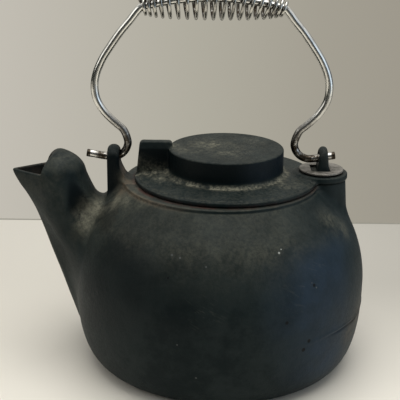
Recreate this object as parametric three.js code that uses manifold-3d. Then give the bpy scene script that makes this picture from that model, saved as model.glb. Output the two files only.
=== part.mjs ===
// Cast iron tea kettle with a swivelling lid and a wire bail with a coiled grip.
// Millimetres, +Z up, origin at the centre of the flat base. The spout points along -X.
import * as THREE from 'three';
import { mergeVertices } from 'three/addons/utils/BufferGeometryUtils.js';
import Module from 'manifold-3d';

const wasm = await Module();
wasm.setup();

// Clearances
const seatGap = 0.3; // between pieces that rest on each other
const turnGap = 0.5; // around the stub that the lid turns on
const overrun = 2; // how far a cut runs past what it cuts

// Pot
const bellyRadius = 92;
const rimHeight = 116.5;
const bellyHeightShare = 0.4695; // of the rim's height
const footInset = 22.1; // from the belly's radius to the foot's
const rimInset = 31; // from the belly's radius to the rim's
const domeCentreInset = 0.9; // the dome is part of a superellipse that would end level this far inside the rim
const domeCentreDrop = 7.5; // and this far below it
const rimBand = 1.9;
const rimRound = 0.6;
const ledgeWidth = 11;
const ledgeThickness = 5;
const potWall = 4.5;
const potFloor = 5;
const footCurveShare = 2.65;
const domeCurveShare = 1.85;
const domeTurnShare = 0.735; // of a quarter turn, where the dome runs on as a straight cone to the rim

// Spout
const spoutOverhang = 38.8; // from the belly to the tip of the beak
const beakRise = 5.5; // above the rim
const spoutHalfWidth = 23;
const spoutWall = 3.5;
const beakWall = 2;
const channelFloor = 24;
const hoodRise = 13;
const archSetback = 19.8; // from the beak's tip to the foot of the arch over it
const archLean = 9.5; // how far that arch leans back over the hood's rise
const archBendAcross = 0.13; // where it bends, as a share of the lean
const archBendUp = 0.58; // and as a share of the rise

// Front ear
const frontEarOffset = 6.1; // from the rim's edge to mid-ear
const frontEarThickness = 7.6;
const frontEarHalfWidth = 8.5;
const frontEarCrown = 6.9;
const frontEarFoot = 4; // how much thicker the foot is on the side of the lid
const frontEarDepth = 15.5; // how far the foot goes down from the rim

// Rear post, the stub that the lid turns on, and the rear ear
const pivotOffset = 1.7; // from the rim's edge to the axis that the lid turns on
const postRadius = 15.4;
const postFlare = 2.2;
const postRise = 1.8; // above the rim
const postDepth = 28.5; // how far the post goes down from the rim
const stubRadius = 10;
const rearEarShift = 0.7;
const rearEarThickness = 7.8;
const rearEarTopThickness = 4.8;
const rearEarHalfWidth = 7;
const rearEarCrown = 7;

// Bail: a bent rod that swings in the two ears
const hingeRise = 14.8; // above the rim
const rodRadius = 2.38;
const earHolePlay = 1.3;
const bailShift = 4.65; // end play, taken up towards the spout
const bailRise = 97.7; // from the hinge to the middle of the rod at the top
const bailBulge = 6.45; // how much further out its widest place is than mid-ear
const hookInset = 13.55; // from mid-ear to the innermost point of a hook
const hookRadius = 9.8;
const hookDrop = 0.95;
const tipReach = 12.15; // past mid-ear
const tipRise = 1.5;

// Coiled grip on the bail
const gripLength = 85.5;
const gripSag = 5.8; // how far the rod drops from its middle to the grip's ends
const gripWireRadius = 1;
const gripBulge = 8.3; // how much wider the coil is in the middle
const gripTurnCount = 19;
const curlSteps = 8;
const wireSides = 5;
const pitchSwingShare = 0.33; // how much wider the pitch is in the middle
const pitchEvenShare = 0.11; // how much of the middle has the same pitch

// Lid
const lidInset = 4; // from the rim's radius to the lid's
const lidShift = 3;
const lidThickness = 3.3;
const lidCrownRise = 1.9; // from the plate's edge to the foot of the disc
const lidStep = 0.5;
const lidStepInset = 2.8;
const discInset = 21.2; // from the plate's radius to the disc's
const discHeight = 20.3; // above the underside
const discRound = 0.9;
const discWall = 4.3;
const eyeRadius = 16.4;
const eyeThickness = 3.7;
const tabThickness = 5.7;
const tabInset = 0.8; // from the plate's radius to the tab's outer edge
const tabHeight = 24.2; // above the underside
const tabTaper = 2.4;
const tabRound = 2;

// Retaining washer
const washerRadius = 13.8;
const washerThickness = 1.6;
const washerSlotWidth = 11.5;
const washerSlotHalfLength = 7.6;

// Fineness
const potSegments = 72;
const innerSegments = 48;
const holeSegments = 32;
const curvePoints = 10;
const arcPoints = 10;
const rodSteps = 116;
const rodSides = 10;

// Places that follow from the sizes above
const bellyHeight = bellyHeightShare * rimHeight;
const footRadius = bellyRadius - footInset;
const rimRadius = bellyRadius - rimInset;
const mouthRadius = rimRadius - ledgeWidth;
const domeCentre = [rimRadius - domeCentreInset, rimHeight - domeCentreDrop];
const spoutReach = bellyRadius + spoutOverhang;
const beakHeight = rimHeight + beakRise;
const archReach = spoutReach - archSetback;
const frontEarReach = rimRadius + frontEarOffset;
const frontEarRoot = rimHeight - frontEarDepth;
const pivotReach = rimRadius + pivotOffset;
const postRoot = rimHeight - postDepth;
const lidRadius = rimRadius - lidInset;
const discRadius = lidRadius - discInset;
const tabOuterReach = lidRadius - tabInset;
const postTop = rimHeight + postRise;
const eyeUnderside = postTop + seatGap;
const stubTop = eyeUnderside + eyeThickness + seatGap;
const hingeHeight = rimHeight + hingeRise;
const lidUnderside = rimHeight + seatGap;
const holeRadius = rodRadius + earHolePlay;

const castIron = () => new THREE.MeshStandardMaterial({ color: 0x24282a, roughness: 0.72, metalness: 0.35 });
const dullSteel = () => new THREE.MeshStandardMaterial({ color: 0x4a4644, roughness: 0.6, metalness: 0.7 });
const brightSteel = () => new THREE.MeshStandardMaterial({ color: 0xa9a8a2, roughness: 0.28, metalness: 1 });

// Solids

function solidOf(geometry) {
  geometry.deleteAttribute('normal');
  geometry.deleteAttribute('uv');
  const merged = mergeVertices(geometry);
  const vertProperties = new Float32Array(merged.attributes.position.array);
  const triVerts = new Uint32Array(merged.index.array);
  return new wasm.Manifold(new wasm.Mesh({ numProp: 3, vertProperties, triVerts }));
}

function meshOf(name, solid, material) {
  const { vertProperties, triVerts } = solid.getMesh();
  const geometry = new THREE.BufferGeometry();
  geometry.setAttribute('position', new THREE.BufferAttribute(vertProperties, 3));
  geometry.setIndex(new THREE.BufferAttribute(triVerts, 1));
  geometry.computeVertexNormals();
  const mesh = new THREE.Mesh(geometry, material);
  mesh.name = name;
  return mesh;
}

const join = (...solids) => solids.reduce((all, solid) => all.add(solid));

// A body of revolution about a vertical axis through centreX, from [radius, height] pairs.
function turned(outline, segments, centreX = 0) {
  const points = outline.map(([radius, height]) => new THREE.Vector2(radius, height));
  const geometry = new THREE.LatheGeometry(points, segments);
  geometry.rotateX(Math.PI / 2);
  geometry.translate(centreX, 0, 0);
  return solidOf(geometry);
}

const disc = (radius, bottom, top, segments, centreX = 0) => turned(
  [[0, bottom], [radius, bottom], [radius, top], [0, top]], segments, centreX);

// A plate whose outline is drawn in X and Z, with its thickness along Y.
function plateAlongY(shape, halfThickness) {
  const depth = 2 * halfThickness;
  const geometry = new THREE.ExtrudeGeometry(shape, { depth, bevelEnabled: false, curveSegments: arcPoints });
  geometry.rotateX(Math.PI / 2);
  geometry.translate(0, halfThickness, 0);
  return solidOf(geometry);
}

// A plate whose outline is drawn in Y and Z, running along X from one place to another.
function plateAlongX(shape, from, to) {
  const depth = to - from;
  const geometry = new THREE.ExtrudeGeometry(shape, { depth, bevelEnabled: false, curveSegments: arcPoints });
  const drawnAxes = new THREE.Matrix4().makeBasis(
    new THREE.Vector3(0, 1, 0), new THREE.Vector3(0, 0, 1), new THREE.Vector3(1, 0, 0));
  geometry.applyMatrix4(drawnAxes);
  geometry.translate(from, 0, 0);
  return solidOf(geometry);
}

// A closed skin over a row of rings that each have the same number of points.
function skinOver(rings) {
  const count = rings[0].length;
  const positions = rings.flat().flatMap((point) => [point.x, point.y, point.z]);
  const index = [];
  for (let ring = 0; ring < rings.length - 1; ring += 1) {
    for (let side = 0; side < count; side += 1) {
      const a = ring * count + side;
      const b = ring * count + (side + 1) % count;
      index.push(a, b, b + count, a, b + count, a + count);
    }
  }
  const last = (rings.length - 1) * count;
  for (let side = 1; side < count - 1; side += 1) {
    index.push(0, side + 1, side, last, last + side, last + side + 1);
  }
  const geometry = new THREE.BufferGeometry();
  geometry.setAttribute('position', new THREE.Float32BufferAttribute(positions, 3));
  geometry.setIndex(index);
  return solidOf(geometry);
}

// Part of a quarter of a superellipse: upright where it starts, turning towards level.
function curvedSide([startRadius, startHeight], [endRadius, endHeight], power, turnShare) {
  const points = [];
  for (let i = 0; i <= curvePoints; i += 1) {
    const turn = (i / curvePoints) * turnShare * (Math.PI / 2);
    const across = 1 - Math.cos(turn) ** (2 / power);
    const up = Math.sin(turn) ** (2 / power);
    points.push([startRadius + (endRadius - startRadius) * across, startHeight + (endHeight - startHeight) * up]);
  }
  return points;
}

// Pot

function potOutside(growth = 0) {
  const belly = [bellyRadius + growth, bellyHeight];
  const foot = curvedSide(belly, [footRadius + growth, 0], footCurveShare, 1).reverse();
  const outerCentre = [domeCentre[0] + growth, domeCentre[1] + growth / 2];
  const dome = curvedSide(belly, outerCentre, domeCurveShare, domeTurnShare).slice(1);
  const rim = [
    [rimRadius + growth, rimHeight - rimBand],
    [rimRadius + growth, rimHeight - rimRound],
    [rimRadius + growth - rimRound, rimHeight],
    [0, rimHeight],
  ];
  return turned([[0, 0], ...foot, ...dome, ...rim], potSegments);
}

function potInside() {
  const belly = [bellyRadius - potWall, bellyHeight];
  const foot = curvedSide(belly, [footRadius - potWall, potFloor], footCurveShare, 1).reverse();
  const innerCentre = [domeCentre[0] - potWall, domeCentre[1] - potWall / 2];
  const dome = curvedSide(belly, innerCentre, domeCurveShare, domeTurnShare).slice(1);
  const ledgeHeight = rimHeight - ledgeThickness;
  const mouth = [
    [rimRadius - potWall, ledgeHeight],
    [mouthRadius, ledgeHeight],
    [mouthRadius, rimHeight + overrun],
    [0, rimHeight + overrun],
  ];
  return turned([[0, potFloor], ...foot, ...dome, ...mouth], innerSegments);
}

// Spout. Each level section is a round nose and a wider round back, joined by their tangents.

const spoutHeightShares = [0.066, 0.17, 0.29, 0.43, 0.574, 0.705, 0.803, 0.869, 0.934, 1];
const spoutFrontShares = [0.63, 0.693, 0.735, 0.778, 0.825, 0.866, 0.902, 0.935, 0.974, 1];
const spoutNoseShares = [0.5, 0.5, 0.49, 0.43, 0.36, 0.287, 0.226, 0.183, 0.139, 0.096];
const spoutBackShares = [0.382, 0.436, 0.489, 0.543, 0.604, 0.669, 0.7225, 0.743, 0.766, 0.784];
const spoutWidthShares = [0.74, 0.9, 0.98, 1, 0.978, 0.935, 0.87, 0.826, 0.791, 0.761];

const hoodHeightShares = [0, 0.31, 0.58, 0.79, 0.94, 1];
const hoodWidthShares = [0.761, 0.678, 0.561, 0.417, 0.243, 0.04];
const hoodBackShares = [0.784, 0.786, 0.787, 0.787, 0.779, 0.76];
const hoodNoseShare = 0.126; // of the hood's width, so that its foot is the beak's rim

function sectionRing(height, noseX, noseRadius, backX, backRadius) {
  const tilt = Math.asin((backRadius - noseRadius) / (backX - noseX));
  const ring = [];
  const addArc = (centreX, radius, from, to) => {
    for (let i = 0; i <= arcPoints; i += 1) {
      const angle = from + (to - from) * (i / arcPoints);
      const reach = radius * Math.cos(angle);
      ring.push(new THREE.Vector3(centreX + reach, radius * Math.sin(angle), height));
    }
  };
  const edge = Math.PI / 2 + tilt;
  addArc(backX, backRadius, -edge, edge);
  addArc(noseX, noseRadius, edge, 2 * Math.PI - edge);
  return ring;
}

// The same section with its wall taken off; a nose thinner than the wall moves back along the section.
function innerSectionRing(height, noseX, noseRadius, backX, backRadius, wall) {
  const least = seatGap;
  const slope = (backRadius - noseRadius) / (backX - noseX);
  const shift = Math.max(0, (wall + least - noseRadius) / slope);
  const radius = Math.max(least, noseRadius - wall);
  return sectionRing(height, noseX + shift, radius, backX, backRadius - wall);
}

function spoutSection(i) {
  const noseRadius = spoutHalfWidth * spoutNoseShares[i];
  return [
    beakHeight * spoutHeightShares[i],
    noseRadius - spoutReach * spoutFrontShares[i],
    noseRadius,
    -spoutReach * spoutBackShares[i],
    spoutHalfWidth * spoutWidthShares[i],
  ];
}

function hoodSection(i, rise) {
  const noseRadius = spoutHalfWidth * hoodNoseShare * hoodWidthShares[i];
  return [
    beakHeight + rise * hoodHeightShares[i],
    noseRadius - spoutReach,
    noseRadius,
    -spoutReach * hoodBackShares[i],
    spoutHalfWidth * hoodWidthShares[i],
  ];
}

// The space behind the arch, which leans back more and more towards its top.
function behindArch(push) {
  const foot = push - archReach;
  const top = beakHeight + hoodRise;
  const shape = new THREE.Shape();
  shape.moveTo(foot, beakHeight - overrun);
  shape.lineTo(0, beakHeight - overrun);
  shape.lineTo(0, top + overrun);
  shape.lineTo(foot + archLean, top + overrun);
  shape.lineTo(foot + archLean, top);
  shape.quadraticCurveTo(foot + archLean * archBendAcross, beakHeight + hoodRise * archBendUp, foot, beakHeight);
  return plateAlongY(shape, spoutHalfWidth + overrun);
}

function spoutOutside() {
  const rings = spoutHeightShares.map((share, i) => sectionRing(...spoutSection(i)));
  const hoodRings = hoodHeightShares.map((share, i) => sectionRing(...hoodSection(i, hoodRise)));
  const sunkRing = hoodRings[0].map((point) => point.clone().setZ(beakHeight - overrun));
  const hood = skinOver([sunkRing, ...hoodRings]).intersect(behindArch(0));
  return join(skinOver(rings), hood);
}

function spoutInside() {
  const rings = [];
  spoutHeightShares.forEach((share, i) => {
    const height = beakHeight * share;
    if (height < channelFloor) return;
    const thinning = THREE.MathUtils.smoothstep(share, spoutHeightShares[5], 1);
    const wall = THREE.MathUtils.lerp(spoutWall, beakWall, thinning);
    rings.push(innerSectionRing(...spoutSection(i), wall));
  });
  const top = rings[rings.length - 1].map((point) => point.clone().setZ(beakHeight + overrun / 2));
  const hoodRings = hoodHeightShares.slice(0, -1).map((share, i) => {
    return innerSectionRing(...hoodSection(i, hoodRise - spoutWall), spoutWall);
  });
  const hood = skinOver(hoodRings).intersect(behindArch(-overrun));
  return join(skinOver([...rings, top]), hood);
}

// Ears: a side outline in X and Z, and an arched front outline in Y and Z that it is cut to.

function archShape(halfWidth, crown, bottom) {
  const shape = new THREE.Shape();
  shape.moveTo(-halfWidth, bottom);
  shape.lineTo(halfWidth, bottom);
  shape.lineTo(halfWidth, hingeHeight);
  shape.absellipse(0, hingeHeight, halfWidth, crown, 0, Math.PI, false);
  return shape;
}

function frontEar() {
  const outer = -frontEarReach - frontEarThickness / 2;
  const inner = -frontEarReach + frontEarThickness / 2;
  const round = frontEarThickness / 2;
  const top = hingeHeight + frontEarCrown;
  const shape = new THREE.Shape();
  shape.moveTo(outer, frontEarRoot);
  shape.lineTo(inner + frontEarFoot, frontEarRoot);
  shape.lineTo(inner + frontEarFoot, rimHeight);
  shape.lineTo(inner, hingeHeight - holeRadius);
  shape.lineTo(inner, top - round);
  shape.absarc(-frontEarReach, top - round, round, 0, Math.PI, false);
  const arch = archShape(frontEarHalfWidth, frontEarCrown, frontEarRoot);
  const side = plateAlongY(shape, frontEarHalfWidth + overrun);
  return side.intersect(plateAlongX(arch, outer - overrun, inner + frontEarFoot + overrun));
}

function rearEar() {
  const centre = pivotReach + rearEarShift;
  const half = rearEarThickness / 2;
  const topHalf = rearEarTopThickness / 2;
  const top = hingeHeight + rearEarCrown;
  const shape = new THREE.Shape();
  shape.moveTo(centre - half, postTop - overrun);
  shape.lineTo(centre + half, postTop - overrun);
  shape.lineTo(centre + topHalf, top - topHalf);
  shape.absarc(centre, top - topHalf, topHalf, 0, Math.PI, false);
  const arch = archShape(rearEarHalfWidth, rearEarCrown, postTop - overrun);
  const side = plateAlongY(shape, rearEarHalfWidth + overrun);
  return side.intersect(plateAlongX(arch, centre - half - overrun, centre + half + overrun));
}

function rearPost() {
  const outline = [
    [0, postRoot],
    [postRadius + postFlare, postRoot],
    [postRadius, postTop - rimRound],
    [postRadius - rimRound, postTop],
    [stubRadius, postTop],
    [stubRadius, stubTop],
    [0, stubTop],
  ];
  return turned(outline, holeSegments, pivotReach);
}

function earHole(centre, thickness) {
  const shape = new THREE.Shape();
  shape.absarc(0, hingeHeight, holeRadius, 0, 2 * Math.PI, false);
  const half = thickness / 2 + frontEarFoot + overrun;
  return plateAlongX(shape, centre - half, centre + half);
}

function kettleBody() {
  return join(potOutside(), frontEar(), rearPost(), rearEar())
    .subtract(potInside())
    .subtract(spoutInside())
    .subtract(earHole(-frontEarReach, frontEarThickness))
    .subtract(earHole(pivotReach + rearEarShift, rearEarThickness));
}

// The spout is cast in one with the pot. Here it is a solid of its own, a seat's gap away from the pot.
function spout() {
  return spoutOutside().subtract(potOutside(seatGap)).subtract(spoutInside());
}

// Lid: a round plate with a raised hollow disc, a tab to lift it by and an eye that turns on the stub.

function lidOutside() {
  const plateTop = lidUnderside + lidThickness;
  const crown = plateTop + lidCrownRise;
  const discTop = lidUnderside + discHeight;
  const outline = [
    [0, lidUnderside],
    [lidRadius, lidUnderside],
    [lidRadius, plateTop - lidStep],
    [lidRadius - lidStepInset, plateTop - lidStep],
    [lidRadius - lidStepInset, plateTop],
    [discRadius + discRound, crown],
    [discRadius, crown + discRound],
    [discRadius, discTop - discRound],
    [discRadius - discRound, discTop],
    [0, discTop],
  ];
  return turned(outline, potSegments, lidShift);
}

function liftTab() {
  const outer = lidShift - tabOuterReach;
  const inner = lidShift - discRadius + discWall / 2;
  const top = lidUnderside + tabHeight;
  const shape = new THREE.Shape();
  shape.moveTo(outer, lidUnderside + lidThickness / 2);
  shape.lineTo(inner, lidUnderside + lidThickness / 2);
  shape.lineTo(inner, top - tabRound);
  shape.absarc(inner - tabRound, top - tabRound, tabRound, 0, Math.PI / 2, false);
  shape.absarc(outer + tabTaper + tabRound, top - tabRound, tabRound, Math.PI / 2, Math.PI, false);
  return plateAlongY(shape, tabThickness / 2);
}

function lid() {
  const eye = disc(eyeRadius, eyeUnderside, eyeUnderside + eyeThickness, potSegments, pivotReach);
  const bore = disc(stubRadius + turnGap, lidUnderside - overrun, stubTop + overrun, holeSegments, pivotReach);
  const postRelief = disc(
    postRadius + turnGap, lidUnderside - overrun, eyeUnderside, potSegments, pivotReach);
  const hollow = disc(
    discRadius - discWall, lidUnderside - overrun, lidUnderside + discHeight - discWall, potSegments, lidShift);
  return join(lidOutside(), eye, liftTab()).subtract(bore).subtract(postRelief).subtract(hollow);
}

// Retaining washer: its slot passes over the rear ear and keeps it from turning.

function retainingWasher() {
  const bottom = stubTop + seatGap;
  const slotEnd = pivotReach + rearEarShift + rearEarThickness / 2 + seatGap;
  const shape = new THREE.Shape();
  shape.moveTo(slotEnd - washerSlotWidth, bottom - overrun);
  shape.lineTo(slotEnd, bottom - overrun);
  shape.lineTo(slotEnd, bottom + washerThickness + overrun);
  shape.lineTo(slotEnd - washerSlotWidth, bottom + washerThickness + overrun);
  const slot = plateAlongY(shape, washerSlotHalfLength);
  return disc(washerRadius, bottom, bottom + washerThickness, potSegments / 2, pivotReach).subtract(slot);
}

// Bail. Its route is worked out on the rear side and mirrored: [distance from its middle, height over hinge].

const earHalfSpan = (frontEarReach + pivotReach + rearEarShift) / 2;
const bailHalfWidth = earHalfSpan + bailBulge;
const bailMiddle = (pivotReach + rearEarShift - frontEarReach) / 2 - bailShift;
const gripHalf = gripLength / 2;

const rodDrop = (along) => gripSag * (along / gripHalf) ** 2;

// From the grip's end out to the bail's widest place, then in to the hook.
const shoulderOutShares = [0.1, 0.24, 0.43, 0.64, 0.836, 0.962, 1];
const shoulderHeightShares = [0.969, 0.912, 0.841, 0.748, 0.65, 0.553, 0.473];
const lowerInShares = [0.94, 0.73, 0.555, 0.355, 0.135];
const lowerHeightShares = [0.387, 0.305, 0.263, 0.222, 0.178];

function bailHalfRoute() {
  const gripEndHeight = bailRise - gripSag;
  const hookInner = earHalfSpan - hookInset;
  const route = [];
  for (let i = 0; i <= curvePoints; i += 1) {
    const along = gripHalf * (i / curvePoints);
    route.push([along, bailRise - rodDrop(along)]);
  }
  shoulderOutShares.forEach((share, i) => {
    route.push([gripHalf + (bailHalfWidth - gripHalf) * share, gripEndHeight * shoulderHeightShares[i]]);
  });
  lowerInShares.forEach((share, i) => {
    route.push([hookInner + (bailHalfWidth - hookInner) * share, gripEndHeight * lowerHeightShares[i]]);
  });
  const hookMiddle = [hookInner + hookRadius, hookRadius - hookDrop];
  for (let i = 0; i <= arcPoints / 2; i += 1) {
    const angle = Math.PI + (i / arcPoints) * Math.PI;
    const out = hookMiddle[0] + hookRadius * Math.cos(angle);
    route.push([out, hookMiddle[1] + hookRadius * Math.sin(angle)]);
  }
  route.push([earHalfSpan + tipReach, tipRise]);
  return route;
}

function bail() {
  const half = bailHalfRoute();
  const rear = half.map(([out, up]) => new THREE.Vector3(bailMiddle + out, 0, hingeHeight + up));
  const front = half.slice(1).map(([out, up]) => new THREE.Vector3(bailMiddle - out, 0, hingeHeight + up));
  const extrudePath = new THREE.CatmullRomCurve3([...rear.reverse(), ...front], false, 'centripetal');
  const section = new THREE.Shape();
  section.absarc(0, 0, rodRadius, 0, 2 * Math.PI, false);
  const options = { steps: rodSteps, extrudePath, bevelEnabled: false, curveSegments: rodSides / 2 };
  return solidOf(new THREE.ExtrudeGeometry(section, options));
}

// Coiled grip: one wire wound round the rod, tight at its ends and wide in the middle.

function gripPoint(turnShare) {
  const phase = 2 * Math.PI * turnShare;
  const swing = pitchSwingShare * Math.sin(phase) + pitchEvenShare * Math.sin(2 * phase) / 2;
  const along = gripLength * (turnShare - swing / (2 * Math.PI)) - gripHalf;
  const slope = -2 * gripSag * along / gripHalf ** 2;
  const up = new THREE.Vector3(-slope, 0, 1).normalize();
  const tightRadius = (rodRadius + seatGap + gripWireRadius) / Math.cos(Math.PI / curlSteps);
  const radius = tightRadius + gripBulge * Math.sin(Math.PI * turnShare);
  const angle = gripTurnCount * phase;
  const middle = new THREE.Vector3(bailMiddle + along, 0, hingeHeight + bailRise - rodDrop(along));
  const outward = up.multiplyScalar(Math.cos(angle)).add(new THREE.Vector3(0, Math.sin(angle), 0));
  return { point: middle.addScaledVector(outward, radius), outward };
}

// The least gap between two places on the wire that lie half a turn or more apart along it.
function leastGap(points) {
  let least = Infinity;
  for (let i = 0; i < points.length; i += 1) {
    for (let j = i + curlSteps / 2; j < points.length; j += 1) {
      least = Math.min(least, points[i].distanceTo(points[j]));
    }
  }
  return least - 2 * gripWireRadius;
}

function coilGrip() {
  const count = gripTurnCount * curlSteps;
  const places = Array.from({ length: count + 1 }, (_, i) => gripPoint(i / count));
  const endRun = (end, beside) => {
    const away = end.point.clone().sub(beside.point).normalize();
    return { point: end.point.clone().addScaledVector(away, 2 * gripWireRadius), outward: end.outward };
  };
  places.unshift(endRun(places[0], places[1]));
  places.push(endRun(places[places.length - 1], places[places.length - 2]));
  console.log('least gap of the coiled grip to itself, mm:', leastGap(places.map((p) => p.point)).toFixed(2));
  const rings = places.map(({ point, outward }, i) => {
    const before = places[Math.max(i - 1, 0)].point;
    const after = places[Math.min(i + 1, places.length - 1)].point;
    const tangent = after.clone().sub(before).normalize();
    const across = new THREE.Vector3().crossVectors(tangent, outward).normalize();
    const out = new THREE.Vector3().crossVectors(across, tangent);
    return Array.from({ length: wireSides }, (_, side) => {
      const angle = 2 * Math.PI * side / wireSides;
      return point.clone()
        .addScaledVector(out, gripWireRadius * Math.cos(angle))
        .addScaledVector(across, gripWireRadius * Math.sin(angle));
    });
  });
  return skinOver(rings);
}

const kettle = new THREE.Group();
kettle.add(
  meshOf('kettle_body', kettleBody(), castIron()),
  meshOf('spout', spout(), castIron()),
  meshOf('lid', lid(), castIron()),
  meshOf('retaining_washer', retainingWasher(), dullSteel()),
  meshOf('bail', bail(), brightSteel()),
  meshOf('coil_grip', coilGrip(), brightSteel()),
);

export default kettle;
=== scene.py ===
"""Cast iron tea kettle with a swivelling lid, a swinging wire bail and a coiled grip.

Shapes are worked out in millimetres, in the frame's own axes (+Z up, -X towards the spout), and
stored in metres. The castings are distance functions with real fillets, meshed on a grid of
radius, angle and height. The rod and the coil are round sections carried along their paths.
"""
import logging
import math
from dataclasses import dataclass, field
from enum import Enum
from itertools import product
from typing import Callable

import bpy
import numpy as np
from mathutils import Matrix, Vector


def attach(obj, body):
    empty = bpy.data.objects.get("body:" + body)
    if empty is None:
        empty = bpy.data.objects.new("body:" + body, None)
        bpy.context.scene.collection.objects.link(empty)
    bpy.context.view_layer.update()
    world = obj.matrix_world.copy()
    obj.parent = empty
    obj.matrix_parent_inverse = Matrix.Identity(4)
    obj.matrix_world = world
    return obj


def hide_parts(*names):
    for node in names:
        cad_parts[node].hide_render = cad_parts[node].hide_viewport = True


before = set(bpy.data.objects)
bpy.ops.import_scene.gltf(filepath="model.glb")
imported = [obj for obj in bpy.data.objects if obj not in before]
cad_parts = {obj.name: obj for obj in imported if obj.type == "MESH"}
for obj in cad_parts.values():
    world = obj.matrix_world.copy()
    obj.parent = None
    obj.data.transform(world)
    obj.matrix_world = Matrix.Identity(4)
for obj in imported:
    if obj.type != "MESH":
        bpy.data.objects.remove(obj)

Array = np.ndarray
Pair = tuple[float, float]
Triple = tuple[float, float, float]
Row = tuple[float, ...]
Outline = list[Pair]
Stops = tuple[tuple[float, Triple], ...]
Spots = tuple[tuple[Triple, float, float], ...]
Distance = Callable[[Array, Array, Array], Array]
Socket = bpy.types.NodeSocket
MM = 0.001
CORNERS = tuple(product((0, 1), repeat=3))
LOG = logging.getLogger("kettle")


class Body(Enum):
    """The moving bodies of the frame that a piece can ride on."""

    KETTLE = "kettle"
    LID = "lid"
    BAIL = "bail"


# Joining and cutting distances


def fillet(a: Array, b: Array, radius: float | Array) -> Array:
    """Joins two solids and fills the valley between them.

    Formula: the lesser of the two distances, less a quarter circle of the given radius wherever
    both are nearer than that radius.

    Args:
        a: distance to one solid, negative inside.
        b: distance to the other solid.
        radius: radius of the fillet.
    Returns:
        Distance to the joined solid.
    """
    corner = np.hypot(np.maximum(radius - a, 0), np.maximum(radius - b, 0))
    return np.maximum(radius, np.minimum(a, b)) - corner


def common(a: Array, b: Array, radius: float | Array) -> Array:
    """Keeps what two solids share and rounds the edge between them.

    Formula: the greater of the two distances, plus a quarter circle of the given radius wherever
    both surfaces are nearer than that radius.

    Args:
        a: distance to one solid, negative inside.
        b: distance to the other solid.
        radius: radius of the rounded edge.
    Returns:
        Distance to the shared solid.
    """
    corner = np.hypot(np.maximum(radius + a, 0), np.maximum(radius + b, 0))
    return np.minimum(-radius, np.maximum(a, b)) + corner


def cut(a: Array, b: Array, radius: float | Array) -> Array:
    """Takes solid b out of solid a and rounds the new edge."""
    return common(a, -b, radius)


def smooth_step(value: Array, start: float, end: float) -> Array:
    """Rises from 0 at start to 1 at end as three squares less two cubes of the way between."""
    way = np.clip((value - start) / (end - start), 0, 1)
    return way * way * (3 - 2 * way)


def bell(offset: Array, width: float) -> Array:
    """A bell curve: e to the power of minus the square of the offset over the width."""
    return np.exp(-((offset / width) ** 2))


def unit(vectors: Array) -> Array:
    """Vectors with a length of one."""
    return vectors / np.linalg.norm(vectors, axis=-1, keepdims=True)


def arch(across: Array, up: Array, half_width: float, crown: float, spring: float) -> Array:
    """Distance to a flat-sided outline with a half ellipse on top.

    Formula: below the spring line the distance to the nearer side. Above it the usual first order
    distance to an ellipse, k (k - 1) / m, with k the scaled radius and m its gradient's length.

    Args:
        across: place across the arch.
        up: height.
        half_width: half of the width between the flat sides.
        crown: rise of the half ellipse above the spring line.
        spring: height at which the sides end.
    Returns:
        Distance to the outline, negative inside.
    """
    above = np.maximum(up - spring, 0)
    scaled = np.hypot(across / half_width, above / crown)
    slope = np.hypot(across / half_width**2, above / crown**2)
    curved = scaled * (scaled - 1) / np.maximum(slope, 1e-6)
    return np.where(up > spring, curved, np.abs(across) - half_width)


def curve_through(stations: Array, values: Array, step: float = 0.25) -> tuple[Array, Array]:
    """A fine table of the smooth curve through some stations.

    Formula: on each span the cubic that has the given values and the neighbours' mean slopes at
    its two ends.

    Args:
        stations: rising places.
        values: value at each place.
        step: spacing of the table.
    Returns:
        Places and values of the table.
    """
    slopes = np.gradient(values, stations)
    places = np.arange(stations[0], stations[-1] + step, step).clip(stations[0], stations[-1])
    i = np.clip(np.searchsorted(stations, places, side="right") - 1, 0, len(stations) - 2)
    span = stations[i + 1] - stations[i]
    t = (places - stations[i]) / span
    rise = values[i + 1] - values[i]
    start = (slopes[i] * span - rise) * t * (1 - t) ** 2
    end = (rise - slopes[i + 1] * span) * t**2 * (1 - t)
    return places, values[i] + rise * t + start + end


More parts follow.
